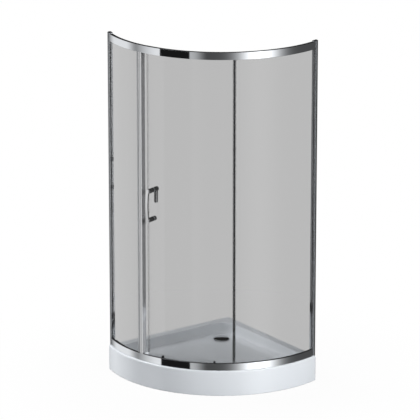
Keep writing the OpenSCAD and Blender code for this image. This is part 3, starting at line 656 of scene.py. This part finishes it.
@dataclass
class Tray:
    """The acrylic tray: apron, rim, basin and drain recess as one smooth skin with a wall.

    The skin is a grid. Its rows are closed outlines from the apron's foot over the rim down to
    the drain hole, and its columns are directions from the drain. The rim has one width along
    the walls and one along the bow. The basin's wall leans in by the lean, and the floor falls
    towards the room corner. On a wall side the apron is cut off at the skirt between two legs,
    given by where they start along the wall. The apron's last upright row stands below its
    rounding by the rim lead, and the floor's rows close in on a circle that is wider than the
    recess by the recess lead.
    """

    drain: tuple[float, float] = (0.015, 0.015)
    rim_wall: float = 0.055
    rim_bow: float = 0.066
    outer_corner: float = 0.012
    inside_solid: float = 0.0001
    basin_corner: float = 0.100
    basin_tip: float = 0.040
    edge_overhang: float = 0.005
    edge_round: float = 0.006
    edge_turn: float = 66.0
    rim_lead: float = 0.001
    lean: float = 0.030
    wall_insets: tuple[float, float, float] = (0.0005, 0.012, 0.018)
    wall_drop: float = 0.022
    floor_height: float = 0.098
    fall: float = math.tan(math.radians(0.7))
    recess_radius: float = 0.053
    recess_height: float = 0.095
    recess_lead: float = 0.002
    hole_radius: float = 0.043
    apron_round: float = 0.008
    apron_waist: float = 0.118
    foot_inset: float = 0.0015
    foot_steps: tuple[float, float] = (0.002, 0.004)
    skirt: float = 0.112
    shell: float = 0.005
    legs: tuple[float, float] = (-0.630, 0.140)
    leg_step: float = 0.0004
    wall_band: float = 0.002
    around: int = 150

    @cached_property
    def directions(self) -> np.ndarray:
        """Where the skin's columns stand: one for each point of a plain outline, and a close
        pair on each wall where the skirt steps down to a leg.

        Returns:
            Directions from the drain, in radians and in order.
        """
        edge = Outline(0.0, 0.0, self.outer_corner, self.outer_corner).points(self.around)
        steps = np.array([leg + side for leg in self.legs
                          for side in (-self.leg_step, self.leg_step)])
        wall = stacked(steps, WALL_INSET)
        away = np.concatenate([edge, wall, wall[:, ::-1]]) - np.array(self.drain)
        angle = np.sort(np.arctan2(away[:, 1], away[:, 0]))
        return angle[np.diff(angle, prepend=angle[0] - 1.0) > 1e-4]

    def plan(self, reach: Numbers) -> np.ndarray:
        """Plan points about the bow's centre at a reach from the drain in every direction."""
        way = stacked(np.cos(self.directions), np.sin(self.directions))
        return np.array(self.drain) + way * np.reshape(reach, (-1, 1))

    def ring(self, reach: Numbers, height: Numbers) -> np.ndarray:
        """One row of the skin, at a reach from the drain and at a height."""
        x, y = (self.plan(reach) + BOW_CENTRE).T
        return stacked(x, y, height)

    def reach(self, outline: Outline) -> np.ndarray:
        """How far an outline lies from the drain in every direction."""
        return outline.reach(np.array(self.drain), self.directions)

    def outer(self, inset: float) -> np.ndarray:
        """The reach of the tray's outline, a hair inside the solid's, drawn in by an inset."""
        inset += self.inside_solid
        return self.reach(Outline(inset, inset, self.outer_corner, self.outer_corner))

    def basin(self, inset: float) -> np.ndarray:
        """The reach of the basin's outline, drawn in by an inset."""
        return self.reach(Outline(self.rim_wall + inset, self.rim_bow + inset,
                                  self.basin_corner - inset, self.basin_tip))

    def floor_at(self, points: np.ndarray) -> np.ndarray:
        """Height of the sloping floor below plan points about the bow's centre."""
        return self.floor_height - self.fall * (points[..., 0] + points[..., 1])

    def apron_rows(self) -> list[np.ndarray]:
        """The apron: upright from the floor, or from the skirt's edge between the legs of a wall
        side, and rounded over to the rim along a quarter circle.

        Returns:
            Its rows from the foot up.
        """
        edge = self.plan(self.outer(0.0))
        on_wall, along = edge.max(-1) > WALL_INSET - self.wall_band, edge.min(-1)
        open_side = on_wall & (along > self.legs[0]) & (along < self.legs[1])
        foot = np.where(open_side, self.skirt, 0.0)
        # The first three rows ease the foot's edge
        rows = [self.ring(self.outer(self.foot_inset), foot)]
        for height in (*(foot + step for step in self.foot_steps), self.apron_waist,
                       TRAY_HEIGHT - self.apron_round - self.rim_lead):
            rows.append(self.ring(self.outer(0.0), height))
        for turn in np.radians(np.linspace(0.0, 90.0, 9)):
            rows.append(self.ring(self.outer(self.apron_round * (1 - math.cos(turn))),
                                  TRAY_HEIGHT - self.apron_round * (1 - math.sin(turn))))
        return rows

    def basin_rows(self) -> list[np.ndarray]:
        """The flat rim, its inner edge along an arc, the basin's wall along a cubic curve that
        leaves the edge steeply and runs out level, and the floor.

        Returns:
            Its rows from the rim inwards.
        """
        start, stop = self.outer(self.apron_round), self.basin(-self.edge_overhang)
        rows = [self.ring(start + (stop - start) * share, TRAY_HEIGHT)
                for share in (0.04, 0.5, 0.96)]
        for turn in np.radians(np.linspace(0.0, self.edge_turn, 7)):
            rows.append(self.ring(self.basin(self.edge_round * math.sin(turn) - self.edge_overhang),
                                  TRAY_HEIGHT - self.edge_round * (1 - math.cos(turn))))
        floor_inset = self.lean + self.edge_round
        floor_edge = self.basin(floor_inset)
        floor = self.floor_at(self.plan(floor_edge))
        top = TRAY_HEIGHT - self.edge_round * (1 - heading(self.edge_turn)[0])
        for t in np.linspace(0.0, 1.0, 15)[1:]:
            inset = bezier(t, *self.wall_insets, floor_inset)
            height = bezier(t, top, top - self.wall_drop, floor, floor)
            rows.append(self.ring(self.basin(inset), height))
        for share in (0.1, 0.3, 0.5, 0.7, 0.85, 0.94):
            reach = floor_edge + (self.recess_radius + self.recess_lead - floor_edge) * share
            rows.append(self.ring(reach, self.floor_at(self.plan(reach))))
        return rows

    def drain_rows(self) -> list[np.ndarray]:
        """The recess for the waste and its hole, with eased edges.

        Returns:
            Its rows from the recess's edge down to the hole.
        """
        floor, deep = self.floor_at(np.array(self.drain)), self.recess_height
        mouth, hole = self.recess_radius, self.hole_radius
        profile = ((mouth + 0.0022, floor), (mouth + 0.001, floor - 0.0004),
                   (mouth, floor - 0.0012), (mouth - 0.0008, deep + 0.0006),
                   (mouth - 0.002, deep), (hole + 0.0006, deep), (hole, deep - 0.0006))
        return [self.ring(reach, height) for reach, height in profile]

    def build(self) -> None:
        """Makes the skin and gives it its wall. Its rows run inwards and its columns go round
        counter-clockwise, so its faces point up and out."""
        grid = np.stack(self.apron_rows() + self.basin_rows() + self.drain_rows())
        faces = grid_faces(*grid.shape[:2], False, True).tolist()
        piece = skin_object("shower_tray_shell", grid, faces, 50.0)
        wall = piece.modifiers.new("shell", "SOLIDIFY")
        wall.thickness = self.shell
        wall.offset = -1.0
        wall.use_even_offset = False
        settle(piece, ACRYLIC, "enclosure", ["shower_tray"])


@dataclass
class Waste:
    """The waste under the tray and the chrome cover that shows in the basin, which stands on
    three short legs."""

    centre: tuple[float, float] = (0.265, 0.265)
    cover_low: float = 0.10035
    cover_top: float = 0.10435
    cover_radius: float = 0.049
    leg_low: float = 0.09735
    leg_high: float = 0.1022
    leg_radius: float = 0.002

    def cover(self) -> bpy.types.Object:
        """The cover: a shallow disc with a turned-down edge on three short legs.

        Returns:
            The new object.
        """
        r, low, top = self.cover_radius, self.cover_low, self.cover_top
        profile = np.array([
            [0.0, low + 0.0015], [r - 0.005, low + 0.0015], [r - 0.0035, low + 0.001],
            [r - 0.0028, low], [r - 0.001, low], [r - 0.0003, low + 0.0003], [r, low + 0.001],
            [r - 0.0006, low + 0.0017], [r - 0.0022, low + 0.0027], [r - 0.004, top - 0.0006],
            [r - 0.006, top - 0.0002], [r - 0.009, top], [r * 0.5, top + 0.0004],
            [r * 0.2, top + 0.0005], [0.0, top + 0.0005],
        ])
        foot = np.array([[0.0, self.leg_low], [self.leg_radius - 0.0005, self.leg_low],
                         [self.leg_radius, self.leg_low + 0.00045],
                         [self.leg_radius, self.leg_high], [0.0, self.leg_high]])
        shells = [lathe("drain_cover_disc", profile, (*self.centre, 0.0), around=96)]
        for turn in (0.0, 120.0, 240.0):
            place = np.array(self.centre) + (r - 0.008) * np.array(heading(turn))
            shells.append(lathe(f"drain_cover_leg_{turn:.0f}", foot, (*place, 0.0), around=20))
        return joined("drain_cover_disc", shells)

    def build(self) -> None:
        """Makes the cover and dresses the pieces below."""
        settle(self.cover(), CAST_CHROME, "drain_cover", ["waste_cover"])
        dress(STAINLESS, "waste_flange", "waste_flange_screws")
        dress(GREY_PLASTIC, "waste_cup", "waste_outlet_pipe")
        dress(WHITE_PLASTIC, "waste_body", "waste_outlet_nut")
        dress(RUBBER, "waste_seal")


@dataclass
class Underframe:
    """The welded frame and levelling feet below the tray, which keep their solids' shapes."""

    bars: Finish = GALVANISED
    feet: Finish = ZINC_STEEL
    pads: Finish = RUBBER

    def build(self) -> None:
        """Dresses the frame and its feet."""
        dress(self.bars, "tray_frame")
        dress(self.feet, "foot_rods", "foot_nuts")
        dress(self.pads, "foot_pads")


@dataclass
class PostSet:
    """What stands at one wall: the channel on it, the side post that slides in the channel, the
    strips that hold the pane in the post, and the cap.

    Plans are drawn for the left wall, with radii on the bow outwards and the post's front at
    local Y = 0.
    """

    side: Side
    channel_width: float = 0.025
    channel_wall: float = 0.0015
    channel_front: float = -0.010
    post: tuple[float, float] = (0.6667, 0.6883)
    post_depth: float = 0.017
    slot_depth: float = 0.010
    post_lips: tuple[float, float] = (0.6791, 0.6849)
    post_lip_wall: float = 0.0012
    strips: tuple[tuple[float, float], ...] = ((0.6781, 0.6793), (0.6847, 0.6859))
    strip_tip: float = -0.0014
    strip_shoulder: float = -0.0020
    strip_foot: float = -0.009
    strip_ease: float = 0.0003
    strip_levels: tuple[float, float] = (TRAY_HEIGHT + 0.010, POST_TOP - 0.002)
    cap_height: float = 0.005
    cap_overhang: float = 0.0005
    cap_ease: float = 0.004
    cap_fullness: float = 0.8
    cap_narrowing: float = 0.2
    cap_least: float = 0.02

    @staticmethod
    def wall_line(x: Numbers) -> Numbers:
        """Local Y at which local X meets the wall, from the wall's plane equation."""
        c, s = heading(LEG_ANGLE)
        return (WALL_INSET - x * s) / c

    def upright(self, name: str, plan: np.ndarray, low: float, high: float) -> bpy.types.Object:
        """A plan of this set drawn straight up from low to high."""
        return column(f"{name}_{self.side.value}", plan, low, high, LEG_ANGLE, self.side)

    def wall_profile(self) -> None:
        """The channel on the wall: a U whose back follows the wall's plane."""
        x1, t, front = FRAME_OUTER, self.channel_wall, self.channel_front
        x0 = x1 - self.channel_width
        plan = rounded([
            (x1, front), (x1, self.wall_line(x1)), (x0, self.wall_line(x0)), (x0, front),
            (x0 + t, front), (x0 + t, self.wall_line(x0 + t) + t),
            (x1 - t, self.wall_line(x1 - t) + t), (x1 - t, front),
        ], PROFILE_EASE)
        piece = self.upright("wall_channel", plan, TRAY_HEIGHT, POST_TOP)
        settle(piece, CHROME, "enclosure", [f"wall_profile_{self.side.value}"])

    def side_post(self) -> None:
        """The post that slides in the channel, with the slot that takes the pane and two thin
        lips that cover the glazing strips."""
        (x0, x1), (lip_in, lip_out), under = self.post, self.post_lips, -self.post_lip_wall
        back, floor = -self.post_depth, -self.slot_depth
        plan = rounded([
            (x1, back), (x1, 0.0), (lip_out, 0.0), (lip_out, under), (SLOT_OUTER, under),
            (SLOT_OUTER, floor), (SLOT_INNER, floor), (SLOT_INNER, under), (lip_in, under),
            (lip_in, 0.0), (x0, 0.0), (x0, back),
        ], PROFILE_EASE / 2)
        piece = self.upright("front_post", plan, TRAY_HEIGHT, POST_TOP)
        settle(piece, CHROME, "enclosure", [f"side_post_{self.side.value}"])

    def post_strips(self) -> None:
        """The two milky strips that hold the pane in the post's slot, behind its lips, each
        with a pointed front."""
        foot, shoulder = self.strip_foot, self.strip_shoulder
        shells = []
        for inner, outer in self.strips:
            tip = ((inner + outer) / 2, self.strip_tip)
            plan = rounded([(outer, foot), (outer, shoulder), tip, (inner, shoulder),
                            (inner, foot)], self.strip_ease, 2)
            shells.append(self.upright("strip", plan, *self.strip_levels))
        piece = joined(f"post_strips_{self.side.value}", shells)
        settle(piece, MILKY_SEAL, "enclosure", ["post_gaskets"])

    def post_cap(self) -> None:
        """The cap over the post: a ridge of height sin(turn) to the power of its fullness that
        runs to the wall. At the front each section shrinks along a quarter circle, in height
        down to the least share and in width by a part of that."""
        half = self.channel_width / 2 + self.cap_overhang
        middle = FRAME_OUTER - self.channel_width / 2
        turn = np.radians(np.linspace(0.0, 180.0, 25))
        across, up = -np.cos(turn) * half, np.sin(turn) ** self.cap_fullness * self.cap_height
        ease = np.radians(np.linspace(90.0, 0.0, 7))[:, None]
        share = np.maximum(np.cos(ease), self.cap_least)
        front = stacked(middle + across * (1 - self.cap_narrowing + self.cap_narrowing * share),
                        self.cap_overhang - self.cap_ease * (1 - np.sin(ease)),
                        POST_TOP + up * share)
        x = middle + across
        back = stacked(x, self.wall_line(x), POST_TOP + up)
        grid = at_bow_angle(np.concatenate([front, back[None]]), LEG_ANGLE, self.side)
        settle(tube(f"cap_{self.side.value}", grid), DARK_PLASTIC, "enclosure",
               [f"post_cap_{self.side.value}"])

    def build(self) -> None:
        """Makes the set."""
        self.wall_profile()
        self.side_post()
        self.post_strips()
        self.post_cap()


@dataclass
class Frame:
    """The bent rails, and through its post sets all that stands at the walls. Radii on the bow
    come before heights in a section."""

    wall: float = 0.002
    groove: float = 0.676
    flange_end: float = 0.669
    lip: float = 0.656
    lip_drop: float = 0.008
    track_height: float = 0.030

    @staticmethod
    def rail(name: str, section: Sequence[tuple[float, float]], node: str) -> None:
        """Carries a rail's section round the bow from post to post and settles it."""
        piece = tube(name, round_bow(rounded(section, PROFILE_EASE), LEFT_END, RIGHT_END))
        settle(piece, CHROME, "enclosure", [node])

    def top_rail(self) -> None:
        """The top rail: outer wall, top flange, groove wall, track web and lip."""
        low, top, o, w, g = FRAME_TOP - RAIL_HEIGHT, FRAME_TOP, FRAME_OUTER, self.wall, self.groove
        self.rail("top_rail_bend", [
            (o, low), (o, top), (self.flange_end, top), (self.flange_end, top - w),
            (g - w, top - w), (g - w, low + w), (self.lip + w, low + w),
            (self.lip + w, low + self.lip_drop), (self.lip, low + self.lip_drop),
            (self.lip, low), (g, low), (g, top - w), (o - w, top - w), (o - w, low),
        ], "top_rail")

    def bottom_rail(self) -> None:
        """The bottom rail: outer wall, base flange, groove wall, web and lip."""
        low, o, w, g = TRAY_HEIGHT, FRAME_OUTER, self.wall, self.groove
        top, track = low + RAIL_HEIGHT, low + self.track_height
        self.rail("bottom_rail_bend", [
            (o, low), (o, top), (o - w, top), (o - w, low + w), (g, low + w), (g, top),
            (g - w, top), (g - w, track), (self.lip, track), (self.lip, track - self.lip_drop),
            (self.lip + w, track - self.lip_drop), (self.lip + w, track - w), (g - w, track - w),
            (g - w, low),
        ], "bottom_rail")

    def build(self) -> None:
        """Makes the frame and dresses what holds it together."""
        self.top_rail()
        self.bottom_rail()
        for side in Side:
            PostSet(side).build()
        dress(STAINLESS, "post_screws", "corner_screws")
        dress(GREY_PLASTIC, "corner_blocks")
        dress(DARK_PLASTIC, "groove_strips")
        dress(RUBBER, "glazing_gaskets_top", "glazing_gaskets_bottom", "setting_blocks",
              "door_stops")


@dataclass
class Panes:
    """The two fixed curved panes and the seal on the right one's free edge."""

    levels: tuple[float, float] = (0.160, 2.030)
    bite: float = math.degrees(0.008 / FIXED_PANE_RADIUS)
    left_edge: float = LEFT_PANE_EDGE
    right_edge: float = 239.8

    def build(self) -> None:
        """Makes both panes, which bite into the posts' slots, and dresses the seal."""
        half = GLASS_THICKNESS / 2
        for name, node, ends in (
                ("left_pane", "fixed_glass_left", (LEFT_END - self.bite, self.left_edge)),
                ("right_pane", "fixed_glass_right", (self.right_edge, RIGHT_END + self.bite))):
            piece = bent_pane(name, FIXED_PANE_RADIUS - half, FIXED_PANE_RADIUS + half,
                              self.levels, ends)
            settle(piece, SMOKED_GLASS, "enclosure", [node])
        dress(DARK_SEAL, "right_pane_seal")


@dataclass
class ClosingJamb:
    """The upright on the left pane's free edge that the door shuts against."""

    middle: float = LEFT_PANE_EDGE + 0.252
    width: float = 0.020
    levels: tuple[float, float] = (0.192, 1.998)
    front: float = 0.689
    box: float = 0.031
    bulge: float = 0.0010
    slot_depth: float = 0.007
    ease: float = 0.0006

    def build(self) -> None:
        """Draws the plan of the jamb, whose front swells like a parabola, and carries it up."""
        half = self.width / 2
        back, floor = self.front - self.box, self.slot_depth - half
        sweep = np.linspace(-1.0, 1.0, 9)
        crown = stacked(self.front - self.bulge * sweep ** 2, sweep * half)
        plan = rounded([*crown.tolist(), (back, half), (back, -half), (SLOT_INNER, -half),
                        (SLOT_INNER, floor), (SLOT_OUTER, floor), (SLOT_OUTER, -half)], self.ease)
        piece = column("jamb_upright", plan, *self.levels, self.middle)
        settle(piece, SATIN_CHROME, "enclosure", ["closing_jamb"])
        dress(CLEAR_SEAL, "jamb_gasket")
        dress(CLEAR_CARRIER, "jamb_magnet")


@dataclass
class Door:
    """The curved sliding pane with its seals, rollers and guides."""

    levels: tuple[float, float] = (0.155, 2.032)
    ends: tuple[float, float] = (193.4415, 241.3)

    def build(self) -> None:
        """Makes the pane and dresses what hangs on it."""
        piece = bent_pane("door_pane", DOOR_INNER, DOOR_OUTER, self.levels, self.ends)
        settle(piece, SMOKED_GLASS, "door", ["door_glass"])
        dress(CLEAR_GRIP, "door_magnet")
        dress(DARK_SEAL, "door_rear_seal")
        dress(CAST_CHROME, "hanger_plates")
        dress(BLACK_NYLON, "hanger_bushes", "release_button_left", "release_button_right")
        dress(STAINLESS, "hanger_axles", "guide_screws")
        dress(WHITE_NYLON, "upper_wheel_1", "upper_wheel_2", "upper_wheel_3", "upper_wheel_4",
              "lower_wheel_left", "lower_wheel_right")
        dress(DARK_PLASTIC, "guide_housing_left", "guide_housing_right")
        dress(SPRING_STEEL, "guide_spring_left", "guide_spring_right")


@dataclass
class Handle:
    """The bow handle outside the door, with the peg and the cap inside. The end lead is how far
    from the bar's ends its plain stations start."""

    angle: float = 197.0
    height: float = 1.100
    pitch: float = 0.172
    reach: float = 0.042
    swell: float = 0.008
    width: float = 0.016
    thickness: float = 0.011
    overhang: float = 0.013
    end_round: float = 0.007
    end_share: float = 0.35
    end_lead: float = 0.010
    bar_round: float = 0.0018
    washer: float = 0.001
    inner_washer: float = 0.0012
    post_radius: float = 0.013
    post_bite: float = 0.003
    rim: float = 0.0012
    peg_length: float = 0.084
    peg_radius: float = 0.011
    peg_gap: float = 0.012
    peg_rim: float = 0.0015
    peg_bevel: float = 0.0004
    arm_proud: float = 0.001
    cap_length: float = 0.014

    def bar(self) -> bpy.types.Object:
        """The bar: a rounded oblong carried along a shallow arc in the upright plane and drawn
        in at both ends along a quarter circle.

        Returns:
            The new object.
        """
        half = self.pitch / 2
        back = DOOR_OUTER + self.washer + self.reach
        bend = (half ** 2 + self.swell ** 2) / (2 * self.swell)
        length = bend * math.asin((half + self.overhang) / bend)
        edge, thick = self.width / 2, self.thickness
        section = rounded([(0.0, -edge), (thick, -edge), (thick, edge), (0.0, edge)],
                          self.bar_round, 6)
        middle = section.mean(0)
        quarter, end = np.linspace(0, math.pi / 2, 8), self.end_round
        travel = np.concatenate([end * (1 - np.cos(quarter)) - length,
                                 np.linspace(self.end_lead - length, length - self.end_lead, 40),
                                 length - end * (1 - np.sin(quarter))])
        rest = np.maximum(length - np.abs(travel), 0.0)
        share = np.sqrt(np.clip(1 - (1 - np.minimum(rest / end, 1.0)) ** 2, 0.0, 1.0))
        share = (self.end_share + (1 - self.end_share) * share)[:, None]
        turn = (travel / bend)[:, None]
        out = (section[:, 0] - middle[0])[None, :] * share + middle[0]
        side = (section[:, 1] - middle[1])[None, :] * share
        x = back + self.swell - bend + (bend + out) * np.cos(turn)
        z = self.height + (bend + out) * np.sin(turn)
        return tube("handle_bar", at_bow_angle(stacked(x, side, z), self.angle))

    def stub(self, name: str, height: float, start: float, stop: float) -> bpy.types.Object:
        """A short round post that points away from the bow's centre, with eased rims.

        Args:
            name: the piece's name.
            height: the height of its axis.
            start: the radius on the bow at which it starts.
            stop: the radius at which it stops.

        Returns:
            The new object.
        """
        r, rim = self.post_radius, self.rim
        profile = np.array([
            [0.0, start], [r - rim, start], [r - rim / 3, start + rim / 4], [r, start + rim],
            [r, (start + stop) / 2], [r, stop - rim], [r - rim / 3, stop - rim / 4],
            [r - rim, stop], [0.0, stop],
        ])
        return lathe(name, profile, (*BOW_CENTRE, height), self.angle, 48)

    def peg(self, top: float) -> bpy.types.Object:
        """The peg inside the door: a round bar that hangs from a short arm and ends below in a
        quarter circle.

        Args:
            top: the height of the arm's axis.

        Returns:
            The new object.
        """
        r, rim, bevel = self.peg_radius, self.peg_rim, self.peg_bevel
        bottom = r - self.peg_length
        axis = DOOR_INNER - self.peg_gap - r
        turn = np.radians(np.linspace(-90.0, 0.0, 10))
        profile = np.concatenate([
            stacked(r * np.cos(turn), bottom + r * np.sin(turn)),
            [[r, bottom / 2], [r, r - rim], [r - bevel, r - bevel], [r - rim, r], [0.0, r]],
        ])
        profile[0, 0] = 0.0
        place = at_bow_angle(np.array([axis, 0.0, top]), self.angle)
        return joined("hanging_peg", [
            lathe("peg_drop", profile, place, around=40),
            self.stub("peg_arm", top, axis - r - self.arm_proud,
                      DOOR_INNER - self.inner_washer)])

    def build(self) -> None:
        """Makes the outer bow, the inner peg and the inner cap."""
        top, low = self.height + self.pitch / 2, self.height - self.pitch / 2
        foot = DOOR_OUTER + self.washer
        root = foot + self.reach + self.post_bite
        bow = joined("handle_grip", [self.bar(), self.stub("post_up", top, foot, root),
                                     self.stub("post_down", low, foot, root)])
        settle(bow, CAST_CHROME, "door", ["handle_bow"])
        settle(self.peg(top), CAST_CHROME, "door", ["handle_peg"])
        cap = self.stub("inner_cap", low, DOOR_INNER - self.cap_length,
                        DOOR_INNER - self.inner_washer)
        settle(cap, CAST_CHROME, "door", ["handle_cap"])
        dress(CLEAR_SEAL, "handle_washers")
        dress(STAINLESS, "handle_bolts")


@dataclass(frozen=True)
class Panel:
    """A tall panel round the object, between two compass directions and with soft edges. It adds
    its level as light, or as a flag it takes that share of the light away."""

    start: float
    stop: float
    fade_in: float
    fade_out: float
    level: float


@dataclass(frozen=True)
class Lamp:
    """A square soft lamp aimed at the middle of the object from a compass direction."""

    name: str
    azimuth: float
    elevation: float
    power: float
    distance: float = 5.0
    size: float = 2.6
    aim_height: float = 1.0

    def build(self) -> None:
        """Hangs the lamp; neither the camera nor a reflection sees it."""
        data = bpy.data.lights.new(self.name, "AREA")
        data.shape = "SQUARE"
        data.size = self.size
        data.energy = self.power
        lamp = bpy.data.objects.new(self.name, data)
        a, e = math.radians(self.azimuth), math.radians(self.elevation)
        level = self.distance * math.cos(e)
        lamp.location = (level * math.cos(a), level * math.sin(a),
                         self.aim_height + self.distance * math.sin(e))
        lamp.rotation_euler = (math.radians(90.0) - e, 0.0, a + math.radians(90.0))
        lamp.visible_glossy = False
        lamp.visible_camera = False
        bpy.context.scene.collection.objects.link(lamp)


@dataclass
class Studio:
    """Camera, floor, lamps and the panels that the chrome reflects."""

    azimuth: float = -35.74
    pitch: float = 17.09
    place: tuple[float, float, float] = (-11.0576, -15.3515, 6.8314)
    lens: float = 293.39
    sensor: float = 36.0
    sight: float = 200.0
    surround: float = 0.075
    panels: tuple[Panel, ...] = (
        Panel(109.5, 129.0, 20.0, 17.0, 0.77),
        Panel(172.0, 172.5, 42.0, 0.8, 0.79),
        Panel(204.0, 205.0, 0.8, 16.5, 0.42),
    )
    flags: tuple[Panel, ...] = (
        Panel(173.5, 203.0, 1.0, 1.0, 0.87),
        Panel(25.0, 80.0, 12.0, 12.0, 0.65),
    )
    softbox: tuple[float, float, float] = (271.8, 12.8, 1.7)
    dome: tuple[float, float] = (0.04, 0.07)
    dome_ends: tuple[float, float] = (-0.2, 0.9)
    floor_size: float = 60.0
    floor_shade: float = 0.04
    shade_ends: tuple[float, float] = (0.5, 1.6)
    floor_tones: tuple[Colour, Colour] = ((0.49, 0.49, 0.495), (0.51, 0.51, 0.515))
    lamps: tuple[Lamp, ...] = (
        Lamp("soft_right", 272.0, 20.0, 222.0),
        Lamp("soft_back_left", 118.0, 20.0, 290.0),
        Lamp("soft_top", 225.0, 88.0, 150.0),
    )

    def camera(self) -> None:
        """Puts the camera where the photograph was taken from."""
        data = bpy.data.cameras.new("camera")
        data.sensor_fit = "HORIZONTAL"
        data.sensor_width = self.sensor
        data.lens = self.lens
        data.clip_end = self.sight
        camera = bpy.data.objects.new("camera", data)
        camera.location = self.place
        camera.rotation_euler = (math.radians(90.0 - self.pitch), 0.0, math.radians(self.azimuth))
        bpy.context.scene.collection.objects.link(camera)
        bpy.context.scene.camera = camera

    @staticmethod
    def seen_directly(wiring: Wiring) -> Wire:
        """1 where the camera looks, also through the glass, and 0 for all other light."""
        camera = wiring.add("ShaderNodeLightPath", output="Is Camera Ray")
        return camera.larger(wiring.add("ShaderNodeLightPath", output="Is Transmission Ray"))

    def floor(self) -> None:
        """A pale floor that the camera sees as the white of the backdrop.

        Near the object a small share of the camera's view is the lit and shaded floor itself;
        the share falls to nothing with the distance from the middle.
        """
        size = self.floor_size
        mesh = bpy.data.meshes.new("studio_floor")
        mesh.from_pydata([(-size, -size, 0.0), (size, -size, 0.0), (size, size, 0.0),
                          (-size, size, 0.0)], [], [(0, 1, 2, 3)])
        floor = bpy.data.objects.new("studio_floor", mesh)
        bpy.context.scene.collection.objects.link(floor)
        material = bpy.data.materials.new("studio_floor")
        material.use_nodes = True
        wiring = Wiring(material.node_tree)
        place = wiring.add("ShaderNodeTexCoord", output="Object")
        away = wiring.add("ShaderNodeVectorMath", {"operation": "LENGTH"}, {0: place}, "Value")
        fade = wiring.smooth_step(away, *self.shade_ends, 1.0 - self.floor_shade, 1.0)
        grain = wiring.tint(wiring.noise(3.0, 4.0), *self.floor_tones)
        shade = wiring.add("ShaderNodeBsdfDiffuse", inputs={"Color": grain})
        white = wiring.add("ShaderNodeEmission",
                           inputs={"Color": (1.0, 1.0, 1.0, 1.0), "Strength": 1.0})
        mixed = wiring.add("ShaderNodeMixShader",
                           inputs={0: self.seen_directly(wiring) * fade, 1: shade, 2: white})
        wiring.add("ShaderNodeOutputMaterial", inputs={"Surface": mixed})
        mesh.materials.append(material)
        floor.visible_glossy = False

    def reflected(self, wiring: Wiring, compass: Wire) -> Wire:
        """What chrome sees: the surroundings, the panels, a softbox whose light falls off as a
        bell curve, and dark flags that take light away.

        Args:
            wiring: the world's tree.
            compass: the direction of a ray in degrees.

        Returns:
            The light in that direction.
        """

        def band(panel: Panel) -> Wire:
            """1 inside a panel and 0 outside, with a smooth step at either side."""
            rise = wiring.smooth_step(compass, panel.start - panel.fade_in, panel.start)
            return rise - wiring.smooth_step(compass, panel.stop, panel.stop + panel.fade_out)

        middle, spread, level = self.softbox
        away = (compass - middle) * (1.0 / spread)
        bell = wiring.add("ShaderNodeMath", {"operation": "EXPONENT"}, {0: away * away * -0.5})
        light = bell * level + self.surround
        for panel in self.panels:
            light = band(panel) * panel.level + light
        for flag in self.flags:
            light = light * (1.0 - band(flag) * flag.level)
        return light

    def world(self) -> None:
        """White to the eye, panels to what reflects, and an even pale dome to the rest.

        The compass direction of a ray is the arctangent of its two level parts.
        """
        world = bpy.data.worlds.new("studio")
        bpy.context.scene.world = world
        world.use_nodes = True
        wiring = Wiring(world.node_tree)
        way = wiring.add("ShaderNodeTexCoord", output="Generated")
        x, y, z = (wiring.add("ShaderNodeSeparateXYZ", inputs={"Vector": way}, output=axis)
                   for axis in "XYZ")
        turn = wiring.add("ShaderNodeMath", {"operation": "ARCTAN2"}, {0: y, 1: x})
        compass = wiring.add("ShaderNodeMath", {"operation": "FLOORED_MODULO"},
                             {0: turn * (180.0 / math.pi), 1: 360.0})
        glossy = wiring.add("ShaderNodeLightPath", output="Is Glossy Ray")
        white = self.seen_directly(wiring)
        dome = wiring.smooth_step(z, *self.dome_ends, *self.dome)
        seen = self.reflected(wiring, compass) * glossy + dome * (1.0 - glossy)
        shader = wiring.add("ShaderNodeBackground", inputs={
            "Color": (1.0, 1.0, 1.0, 1.0), "Strength": seen * (1.0 - white) + white})
        wiring.add("ShaderNodeOutputWorld", inputs={"Surface": shader})

    def build(self) -> None:
        """Sets up the studio."""
        self.camera()
        self.floor()
        for lamp in self.lamps:
            lamp.build()
        self.world()
        bpy.context.scene.view_settings.view_transform = "Standard"


def main() -> None:
    """Builds each sub-assembly and the studio."""
    logging.basicConfig(level=logging.INFO, format="%(message)s")
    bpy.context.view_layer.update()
    for assembly in (Tray(), Waste(), Underframe(), Frame(), Panes(), ClosingJamb(), Door(),
                     Handle(), Studio()):
        LOG.info("building %s", type(assembly).__name__)
        assembly.build()


if __name__ == "__main__":
    main()
